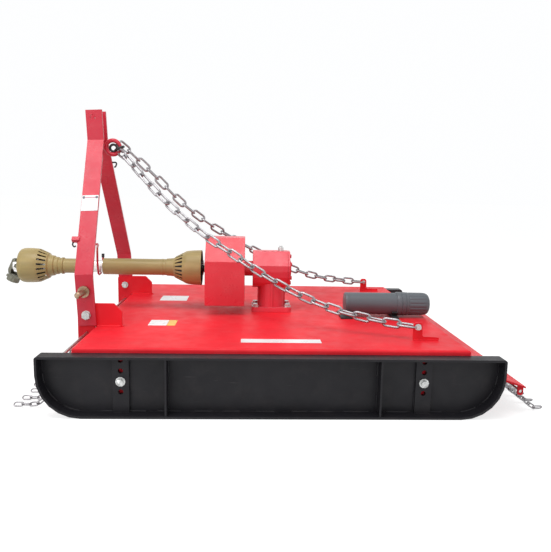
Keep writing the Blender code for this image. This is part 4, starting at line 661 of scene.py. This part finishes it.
lie_rng = random.Random(11)
for hand, points in BRACE_ROUTES.items():
    route = smooth_route([(DECK_MIDDLE_X + x, y, z) for x, y, z in points], steps=12)
    lie = [(middle, direction, BRACE_ROLLS[k % 2] + lie_rng.uniform(-BRACE_ROLL_PLAY, BRACE_ROLL_PLAY))
           for k, (middle, direction) in enumerate(even_places(route, BRACE_PITCH))]
    links = chain(f"brace_chain_links_{hand}", lie, *BRACE_LINK, BRACE_WIRE, bends=5, sides=10,
                  material=chain_zinc, body=None, slot="chain_steel", stands_for=[f"brace_chain_{hand}"])
    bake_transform(links)
finish(deck_coat, "chain_lug_left", "chain_lug_right")
lug_runs = [[(DECK_MIDDLE_X + x, side * CHAIN_LUG_Y + face, DECK_TOP + 0.001) for x in CHAIN_LUG_WELD]
            for side in (-1, 1) for face in (-HALF_LUG_WELD, HALF_LUG_WELD)]
bead("lug_welds", lug_runs, LUG_BEAD, deck_coat, "deck_frame", wave=0.005, sides=6, seed=5)

# Chain eye: thick round bar bent to a loop behind the mast top, with black shackles through it
# that carry both chains. A lug and a clip stand off the left leg by the shaft's cradle hook, which
# ends in a black tip, and a spring clip hangs on the right leg.
EYE_MIDDLE = Vector((DECK_MIDDLE_X - 0.602, 0.0, 0.822))
EYE_RADIUS, EYE_BAR = 0.0262, 0.0078
SHACKLE_MIDDLE = EYE_MIDDLE + Vector((0.0245, 0.0, -0.003))
SHACKLE_RADIUS, SHACKLE_BAR = 0.0170, 0.0042
EYE_LINK_MIDDLE = EYE_MIDDLE + Vector((0.002, 0.0, -0.002))
EYE_LINK_RADIUS, EYE_LINK_WIRE = 0.0128, 0.0046
CRADLE_LUG_FRONT, CRADLE_LUG_REAR = DECK_MIDDLE_X - 0.690, DECK_MIDDLE_X - 0.664
CRADLE_LUG_Y, CRADLE_LUG_Z = -0.2594, 0.492
CRADLE_LUG_BAR, CRADLE_CLIP_WIRE = 0.0110, 0.0026
CRADLE_CLIP = ((0.004, 0.484), (0.001, 0.474), (0.006, 0.467), (0.012, 0.470))
FAR_CLIP = (DECK_MIDDLE_X - 0.608, 0.056, 0.760)
FAR_CLIP_BENDS = ((-0.010, 0.008), (0.003, 0.008), (0.006, 0.002), (0.002, -0.008), (-0.003, -0.010))
FAR_CLIP_WIRE = 0.0030
HOOK_TIP = [(DECK_MIDDLE_X - 0.662, 0.0570, 0.394), (DECK_MIDDLE_X - 0.662, 0.0585, 0.409)]
HOOK_TIP_RADIUS = 0.0058


def bent_wire(name, runs, radius, material, body, closed=False, sides=12,
              across=(0.0, 1.0, 0.0)):
    """Round bar along each run of points, which lie in a plane that the across direction stands on."""
    bm = bmesh.new()
    normal = Vector(across).normalized()
    for run in runs:
        route = [Vector(p) for p in run]
        rings = []
        for k, place in enumerate(route):
            before = route[k - 1] if closed or k > 0 else place
            after = route[(k + 1) % len(route)] if closed or k < len(route) - 1 else place
            outward = (after - before).normalized().cross(normal).normalized()
            rings.append([bm.verts.new(place + (outward * math.cos(t) + normal * math.sin(t)) * radius)
                          for t in [2 * math.pi * n / sides for n in range(sides)]])
        for one, two in zip(rings, rings[1:]):
            band(bm, one, two)
        if closed:
            band(bm, rings[-1], rings[0])
        else:
            bm.faces.new(rings[0][::-1])
            bm.faces.new(rings[-1])
    return piece(name, outward_mesh(name, bm), material, body, smooth=40)


def loop(middle, radius, one, other, steps=40):
    """Points of a ring round a middle, in the plane of two directions."""
    return [middle + Vector(one) * (radius * math.cos(t)) + Vector(other) * (radius * math.sin(t))
            for t in [2 * math.pi * n / steps for n in range(steps)]]


bent_wire("mast_eye_loop", [loop(EYE_MIDDLE, EYE_RADIUS, (1, 0, 0), (0, 0, 1))], EYE_BAR, mast_coat_painted_sheen,
          "mast", closed=True, sides=16)
shackle_black = plated("shackle_black", (0.045, 0.042, 0.045), 0.32, mottle=0.45, metallic=0.6)
for number, tilt in (("one", 25.0), ("two", -50.0)):
    turn = math.radians(tilt)
    bow = (math.cos(turn), 0.0, math.sin(turn))
    bent_wire("eye_shackle_" + number, [loop(SHACKLE_MIDDLE, SHACKLE_RADIUS, bow, (0.0, 1.0, 0.0))],
              SHACKLE_BAR, shackle_black, "mast", closed=True,
              across=(-math.sin(turn), 0.0, math.cos(turn)))
bent_wire("eye_link", [loop(EYE_LINK_MIDDLE, EYE_LINK_RADIUS, (1, 0, 0), (0, 0, 1))], EYE_LINK_WIRE,
          shackle_black, "mast", closed=True)
bent_wire("cradle_lug", [[(CRADLE_LUG_FRONT, CRADLE_LUG_Y, CRADLE_LUG_Z),
                          (CRADLE_LUG_REAR, CRADLE_LUG_Y, CRADLE_LUG_Z)]], CRADLE_LUG_BAR, mast_coat_painted_sheen,
          "mast", sides=4)
clip_route = [(CRADLE_LUG_FRONT + x, CRADLE_LUG_Y, z) for x, z in CRADLE_CLIP]
bent_wire("cradle_clip", [smooth_route(clip_route, steps=4)], CRADLE_CLIP_WIRE, shackle_black, "mast",
          sides=8)
clip_route = [(FAR_CLIP[0] + x, FAR_CLIP[1], FAR_CLIP[2] + z) for x, z in FAR_CLIP_BENDS]
bent_wire("far_leg_clip", [smooth_route(clip_route, steps=4)], FAR_CLIP_WIRE, shackle_black, "mast",
          sides=8)
bent_wire("cradle_hook_tip", [HOOK_TIP], HOOK_TIP_RADIUS, shackle_black, "mast", across=(1.0, 0.0, 0.0))

# Gearbox: grey iron casting with a bolted rear cover, sprayed the same red. The sand mould's
# grain shows through the paint, and it stands on a flange bolted through the deck.
CAST_RED = (0.80, 0.050, 0.080)


def cast_paint(name):
    """Paint over a sand casting: coarse pits under the gloss."""
    made = powder_coat(name, CAST_RED, roughness=0.34, peel=0.30, dust=0.07, gloss=0.50, edge=0.0030)
    nodes, links, shader, coords = opened(made)
    sand = nodes.new("ShaderNodeBump")
    sand.inputs["Strength"].default_value = 0.35
    sand.inputs["Distance"].default_value = 0.0012
    links.new(noise(nodes, links, coords, 150.0, 5.0, 0.6), sand.inputs["Height"])
    links.new(shader.inputs["Normal"].links[0].from_socket, sand.inputs["Normal"])
    links.new(sand.outputs["Normal"], shader.inputs["Normal"])
    return made


cast_red = cast_paint("cast_red")
finish(cast_red, "gearbox_housing", "gearbox_rear_cover")

# Drive train inside the gearbox: a crown gear of ground steel on the input shaft meshes with a
# pinion on the output shaft. The turned shafts run in ball bearings pressed into the casting.
ground_steel = plated("ground_steel", (0.50, 0.50, 0.52), 0.28, mottle=0.20)
turned_steel = plated("turned_steel", (0.45, 0.44, 0.41), 0.34, mottle=0.30)
finish(ground_steel, "crown_gear", "output_pinion", "input_bearing_front", "input_bearing_rear",
       "output_bearing")
finish(turned_steel, "input_shaft", "output_shaft")

# Hood: steel sheet bent to an arch over the rear joint and bolted to the gearbox. It is open in
# front and below, and sprayed a glossier red than the deck.
hood_coat = powder_coat("hood_coat", (0.78, 0.028, 0.050), roughness=0.30, peel=0.26, dust=0.04,
                        gloss=0.50, edge=0.0020)
finish(hood_coat, "input_shaft_hood")

# Drive shaft guards: two moulded plastic tubes that slide in one another, each widening through a
# slotted cone to a bell over its joint. They stand still while the profile tubes turn inside.
SHAFT_Z = 0.366
GUARD_WALL, SHADE_SHELL_WALL = 0.0025, 0.0012
SLOT_COUNT, SLOT_TURN = 20, 0.37
SLOT_REACH = (0.030, 0.080)
REAR_SLOT = ((-0.366, 0.0035), (-0.337, 0.0095))
FRONT_SLOT = ((-0.856, 0.0060), (-0.886, 0.0078))
REAR_GUARD = [(-0.645, 0.0315), (-0.420, 0.0315), (-0.4185, 0.0326), (-0.414, 0.0326),
              (-0.4125, 0.0316), (-0.402, 0.0318), (-0.400, 0.0338), (-0.386, 0.0345),
              (-0.372, 0.0362), (-0.368, 0.0405), (-0.364, 0.0430), (-0.334, 0.0585),
              (-0.326, 0.0630), (-0.318, 0.0655), (-0.300, 0.0672), (-0.268, 0.0686),
              (-0.264, 0.0692)]
FRONT_GUARD = [(-0.690, 0.0282), (-0.796, 0.0284), (-0.798, 0.0318), (-0.804, 0.0326),
               (-0.807, 0.0300), (-0.814, 0.0305), (-0.818, 0.0335), (-0.830, 0.0345),
               (-0.833, 0.0385), (-0.842, 0.0400), (-0.850, 0.0425), (-0.854, 0.0490),
               (-0.880, 0.0605), (-0.888, 0.0640), (-0.900, 0.0658), (-0.918, 0.0668),
               (-0.938, 0.0670), (-0.948, 0.0660), (-0.955, 0.0635), (-0.960, 0.0590),
               (-0.962, 0.0540)]
# Black shells just inside the bells: painted shade that shows through the slots.
REAR_SHADE_SHELL = [(-0.2655, 0.0662), (-0.300, 0.0640), (-0.326, 0.0598), (-0.334, 0.0550),
               (-0.366, 0.0385)]
FRONT_SHADE_SHELL = [(-0.9585, 0.0530), (-0.950, 0.0600), (-0.930, 0.0636), (-0.905, 0.0620),
                (-0.890, 0.0590)]


def turned_mesh(name, profile, centre_y, centre_z, steps=80, flutes=None):
    """A closed profile of (x, radius) points in the deck's frame, turned round the X direction.

    Flutes give the first and last x, the least radius, the count and the depth.
    """
    first, last, least, count, depth = flutes or (0.0, 0.0, 0.0, 0, 0.0)
    bm = bmesh.new()
    rings = []
    for x, radius in profile:
        if radius <= 0.0:
            rings.append([bm.verts.new((DECK_MIDDLE_X + x, centre_y, centre_z))])
            continue
        ring = []
        for n in range(steps):
            angle = 2 * math.pi * n / steps
            reach = radius
            if flutes and first <= x <= last and radius > least:
                reach -= depth * (0.5 - 0.5 * math.cos(angle * count)) ** 3
            ring.append(bm.verts.new((DECK_MIDDLE_X + x, centre_y + reach * math.cos(angle),
                                      centre_z + reach * math.sin(angle))))
        rings.append(ring)
    closed = len(rings[0]) > 1
    pairs = list(zip(rings, rings[1:])) + ([(rings[-1], rings[0])] if closed else [])
    for one, two in pairs:
        if len(one) == len(two):
            band(bm, one, two)
            continue
        for n in range(steps):
            m = (n + 1) % steps
            bm.faces.new((one[0], two[m], two[n]) if len(one) == 1 else (one[n], one[m], two[0]))
    return outward_mesh(name, bm)


def moulded(name, colour, roughness, grain=520.0, bump=0.20, gloss=0.40, streak=0.25):
    """Moulded plastic: matt grain, faint flow marks round the piece and rubbed high spots."""
    made = bpy.data.materials.new(name)
    nodes, links, shader, coords = opened(made)
    pulled = nodes.new("ShaderNodeMapping")
    pulled.inputs["Scale"].default_value = (6.0, 42.0, 42.0)
    links.new(coords, pulled.inputs["Vector"])
    marks = noise(nodes, links, pulled.outputs["Vector"], 1.0, 5.0)
    flow = spread(nodes, links, marks, 0.0, 1.0, 0.30, 0.72)
    deep = tuple(c * (1.0 - streak) for c in colour)
    tone = blended(nodes, links, flow, deep, colour)
    rubbed = spread(nodes, links, noise(nodes, links, coords, 60.0, 8.0, 0.7), 0.0, 0.22, 0.60, 0.80)
    links.new(blended(nodes, links, rubbed, tone, tuple(min(1.0, c * 1.35 + 0.03) for c in colour)),
              shader.inputs["Base Color"])
    links.new(spread(nodes, links, noise(nodes, links, coords, 30.0, 4.0), roughness - 0.07,
                     roughness + 0.10, 0.3, 0.7), shader.inputs["Roughness"])
    shader.inputs["Specular IOR Level"].default_value = gloss
    eased_skin(nodes, links, coords, shader, 0.0012, bump, 0.0003, grain=grain, detail=3.0)
    return made


guard_plastic = moulded("guard_plastic", (0.46, 0.350, 0.140), 0.38, gloss=0.38)
# Black for the shells inside the guards: painted shade.
painted_shade_black = moulded("painted_shade_black", (0.018, 0.018, 0.018), 0.55)


def slotted_guard(name, profile, slots, body, node):
    """A guard's wall with its slots cut through the cone: slots give (x, width) at both ends."""
    inner = [(x, radius - GUARD_WALL) for x, radius in profile]
    wall = bpy.data.objects.new(name + "_blank", turned_mesh(name, profile + inner[::-1], 0.0, SHAFT_Z))
    bpy.context.scene.collection.objects.link(wall)
    bm = bmesh.new()
    for k in range(SLOT_COUNT):
        spin = Matrix.Rotation(2 * math.pi * (k + SLOT_TURN) / SLOT_COUNT, 4, "X")
        corners = []
        for x, width in slots:
            for height in SLOT_REACH:
                for half in (-width / 2, width / 2):
                    corners.append(bm.verts.new(Vector((DECK_MIDDLE_X + x, 0.0, SHAFT_Z))
                                                + spin @ Vector((0.0, half, height))))
        for face in ((0, 1, 3, 2), (4, 6, 7, 5), (0, 4, 5, 1), (2, 3, 7, 6), (0, 2, 6, 4), (1, 5, 7, 3)):
            bm.faces.new([corners[i] for i in face])
    wedge = bpy.data.objects.new(name + "_slots", outward_mesh(name + "_slots", bm))
    bpy.context.scene.collection.objects.link(wedge)
    opening = wall.modifiers.new("slots", "BOOLEAN")
    opening.operation = "DIFFERENCE"
    opening.solver = "EXACT"
    opening.object = wedge
    graph = bpy.context.evaluated_depsgraph_get()
    mesh = bpy.data.meshes.new_from_object(wall.evaluated_get(graph))
    for used in (wall, wedge):
        bpy.data.objects.remove(used, do_unlink=True)
    mesh.name = name
    return piece(name, mesh, guard_plastic, body, smooth=32, stands_for=[node])


def painted_shade_shell(name, profile, body):
    """A thin black shell inside a guard: painted shade that closes its slots, where the inside stands in
    shadow.
    """
    wall = profile + [(x, radius - SHADE_SHELL_WALL) for x, radius in profile[::-1]]
    piece(name, turned_mesh(name, wall, 0.0, SHAFT_Z), painted_shade_black, body, smooth=40)


slotted_guard("guard_rear_shell", REAR_GUARD, REAR_SLOT, "rear_guard", "guard_rear")
slotted_guard("guard_front_shell", FRONT_GUARD, FRONT_SLOT, "front_guard", "guard_front")
# Painted shade inside both bells.
painted_shade_shell("guard_rear_painted_shade", REAR_SHADE_SHELL, "rear_guard")
painted_shade_shell("guard_front_painted_shade", FRONT_SHADE_SHELL, "front_guard")

# Drive shaft: two drawn steel tubes of lobed section that slide in one another. Each carries a
# joint of forged yokes and a cross, and the rear yoke is pushed on the gearbox's input shaft.
profile_steel = plated("profile_steel", (0.78, 0.77, 0.74), 0.38, mottle=0.18)
forged_steel = plated("forged_steel", (0.23, 0.225, 0.175), 0.42, mottle=0.35, metallic=0.75,
                      bump_size=420.0, bump=0.5)
finish(profile_steel, "outer_profile_shaft", "inner_profile_shaft")
finish(forged_steel, "rear_end_yoke", "rear_cross", "front_cross", "front_end_yoke")

# Document tube: grey moulded tube that holds the machine's papers, closed by a fluted cap. It lies
# in two black saddles of moulded plastic, which are screwed to the deck.
TUBE_Y, TUBE_Z = -0.105, 0.251
CAP_FLUTES = (0.534, 0.598, 0.040, 18, 0.0016)
SADDLE_WIDTH = 0.022
CUP_INNER, CUP_OUTER = 0.0419, 0.0472
PLATE_HALF, PLATE_EDGE = 0.060, 0.006
RISE_HALF, RISE_HEIGHT = 0.034, 0.008
PLATE_STAND = 0.0003
tube_plastic = moulded("tube_plastic", (0.120, 0.134, 0.150), 0.40, grain=700.0, bump=0.30,
                       streak=0.12)
tube_wall = [(0.288, 0.0), (0.288, 0.0375), (0.2890, 0.0398), (0.2915, 0.0412), (0.295, 0.0415),
             (0.300, 0.0415), (0.3005, 0.0409), (0.3025, 0.0409), (0.303, 0.0415), (0.4855, 0.0415),
             (0.4860, 0.0440), (0.4880, 0.0450), (0.5020, 0.0450), (0.5030, 0.0436), (0.5060, 0.0436),
             (0.5070, 0.0450), (0.5190, 0.0450), (0.5197, 0.0440), (0.5197, 0.0385), (0.2910, 0.0385),
             (0.2910, 0.0)]
piece("document_tube_body", turned_mesh("document_tube_body", tube_wall, TUBE_Y, TUBE_Z), tube_plastic,
      "deck_frame", smooth=32, stands_for=["document_tube"])
cap_wall = [(0.6115, 0.0), (0.6125, 0.0140), (0.6130, 0.0240), (0.6118, 0.0300), (0.6090, 0.0350),
            (0.6045, 0.0390), (0.5990, 0.0414), (0.5930, 0.0426), (0.5850, 0.0430), (0.5600, 0.0433),
            (0.5380, 0.0435), (0.5340, 0.0432), (0.5320, 0.0425), (0.5300, 0.0440), (0.5215, 0.0440),
            (0.5202, 0.0430), (0.5200, 0.0385), (0.5960, 0.0385), (0.6040, 0.0330), (0.6085, 0.0)]
cap_mesh = turned_mesh("document_tube_lid", cap_wall, TUBE_Y, TUBE_Z, steps=144, flutes=CAP_FLUTES)
piece("document_tube_lid", cap_mesh, tube_plastic, "tube_cap", smooth=32,
      stands_for=["document_tube_cap"])
saddle_plastic = moulded("saddle_plastic", (0.030, 0.030, 0.032), 0.50)


def saddle(name, x, ahead, node):
    """Open cradle under the tube: low on its left, higher on its right, with a foot on either side."""
    arc = [math.radians(a) for a in range(-142, 41, 13)]
    cup = [(TUBE_Y + CUP_OUTER * math.cos(a), TUBE_Z + CUP_OUTER * math.sin(a)) for a in arc]
    cup += [(TUBE_Y + CUP_INNER * math.cos(a), TUBE_Z + CUP_INNER * math.sin(a)) for a in reversed(arc)]
    foot = DECK_TOP + PLATE_STAND
    plate = [(TUBE_Y - PLATE_HALF, foot), (TUBE_Y + PLATE_HALF, foot),
             (TUBE_Y + PLATE_HALF, foot + PLATE_EDGE), (TUBE_Y + RISE_HALF, foot + RISE_HEIGHT),
             (TUBE_Y - RISE_HALF, foot + RISE_HEIGHT), (TUBE_Y - PLATE_HALF, foot + PLATE_EDGE)]
    bm = bmesh.new()
    for outline, low, high in ((cup, x, x + SADDLE_WIDTH), (plate, x - ahead, x + SADDLE_WIDTH)):
        near = [bm.verts.new((DECK_MIDDLE_X + low, y, z)) for y, z in outline]
        far = [bm.verts.new((DECK_MIDDLE_X + high, y, z)) for y, z in outline]
        band(bm, near, far)
        bm.faces.new(near[::-1])
        bm.faces.new(far)
    piece(name, outward_mesh(name, bm), saddle_plastic, "deck_frame", smooth=40,
          stands_for=[node])


saddle("saddle_cradle_front", x=0.290, ahead=0.022, node="document_tube_saddle_front")
saddle("saddle_cradle_rear", x=0.466, ahead=0.0, node="document_tube_saddle_rear")

# Deck labels: rectangles of thin vinyl in a flat colour, stuck on the coat in front of the
# gearbox and along the left edge. They are blank.
FILM_STAND = 0.0003


def deck_film(name, low, high, colour):
    """A film flat on the deck between two opposite corners."""
    z = DECK_TOP + FILM_STAND
    return film(name, [(DECK_MIDDLE_X + low[0], low[1], z), (DECK_MIDDLE_X + high[0], low[1], z),
                       (DECK_MIDDLE_X + high[0], high[1], z), (DECK_MIDDLE_X + low[0], high[1], z)],
                colour, "deck_frame")


deck_film("deck_label_rear_of_mast", (-0.455, 0.163), (-0.341, 0.275), white_film)
deck_film("deck_label_front", (-0.428, -0.301), (-0.364, -0.215), white_film)
deck_film("deck_label_front_end", (-0.363, -0.301), (-0.334, -0.215), yellow_film)
deck_film("deck_label_long", (-0.102, -0.523), (0.153, -0.478), white_film)

# Rotor: forged cross bar under the deck, held on the output shaft by a nut. Two blades of rolled
# spring steel swing freely on bolts at its ends, and both steels are dark with scale.
blade_steel = plated("blade_steel", (0.36, 0.36, 0.37), 0.40, mottle=0.40, bump_size=300.0, bump=0.4)
finish(blade_steel, "blade_1", "blade_2")
bar_steel = plated("bar_steel", (0.26, 0.25, 0.24), 0.46, mottle=0.35, bump_size=320.0, bump=0.5)
finish(bar_steel, "blade_carrier")

# Chain curtains: short galvanised chains that hang on a rod along the front and the rear edge and
# stop stones. They reach the ground and trail outwards.
CURTAIN_SPACING = 0.0622
CURTAIN_WIRE = 0.0025
CURTAIN_LINK = (0.033, 0.0175)
CURTAIN_PITCH = 0.0236
GROUND_LIE = 0.0098
CURTAIN_ROLLS, CURTAIN_ROLL_PLAY = (-45.0, 45.0), 8.0
CURTAIN_CHAINS = range(-9, 10)
CURTAIN_DRIFT = 0.007
BRACKET_ROOM = 0.018
ROD_RADIUS, ROD_LENGTH = 0.005, 1.176
finish(deck_coat, "rear_chain_rail")
curtain_rng = random.Random(5)
for node, body, rod_x, rod_z, reach in (("front_chain_curtain", "front_curtain", -0.630, 0.178, -0.166),
                                        ("rear_chain_curtain", "rear_curtain", 0.772, 0.070, 0.084)):
    out = 1 if reach > 0 else -1
    lie = []
    for n in CURTAIN_CHAINS:
        y = n * CURTAIN_SPACING
        if rod_x < 0 and abs(abs(y) - BRACKET_MIDDLE_Y) < BRACKET_ROOM:
            continue
        length = reach * curtain_rng.uniform(0.93, 1.0)
        drift = curtain_rng.uniform(-CURTAIN_DRIFT, CURTAIN_DRIFT)
        drop = [(0.0, 0.0, rod_z - 0.003), (0.004 * out, 0.0, rod_z - 0.022),
                (0.25 * length, drift * 0.2, (rod_z + GROUND_LIE) / 2),
                (0.45 * length, drift * 0.5, GROUND_LIE + 0.018),
                (0.62 * length, drift * 0.8, GROUND_LIE), (length, drift, GROUND_LIE)]
        route = smooth_route([(DECK_MIDDLE_X + rod_x + x, y + aside, z) for x, aside, z in drop],
                             steps=8)
        for point in route:
            point.z = max(point.z, GROUND_LIE)
        for k, (middle, direction) in enumerate(even_places(route, CURTAIN_PITCH)):
            play = curtain_rng.uniform(-CURTAIN_ROLL_PLAY, CURTAIN_ROLL_PLAY)
            lie.append((middle, direction, CURTAIN_ROLLS[k % 2] + play))
    chain(node + "_links", lie, *CURTAIN_LINK, CURTAIN_WIRE, bends=3, sides=5, material=chain_zinc,
          body=body, slot="chain_steel", stands_for=[node])
    rod = bmesh.new()
    bmesh.ops.create_cone(rod, cap_ends=True, segments=20, radius1=ROD_RADIUS, radius2=ROD_RADIUS,
                          depth=ROD_LENGTH)
    across = (Matrix.Translation((DECK_MIDDLE_X + rod_x, 0.0, rod_z))
              @ Matrix.Rotation(math.pi / 2, 4, "X"))
    bmesh.ops.transform(rod, verts=rod.verts, matrix=across)
    rod_mesh = bpy.data.meshes.new(node + "_rod")
    rod.to_mesh(rod_mesh)
    rod.free()
    piece(node + "_rod", rod_mesh, zinc, body, smooth=40)
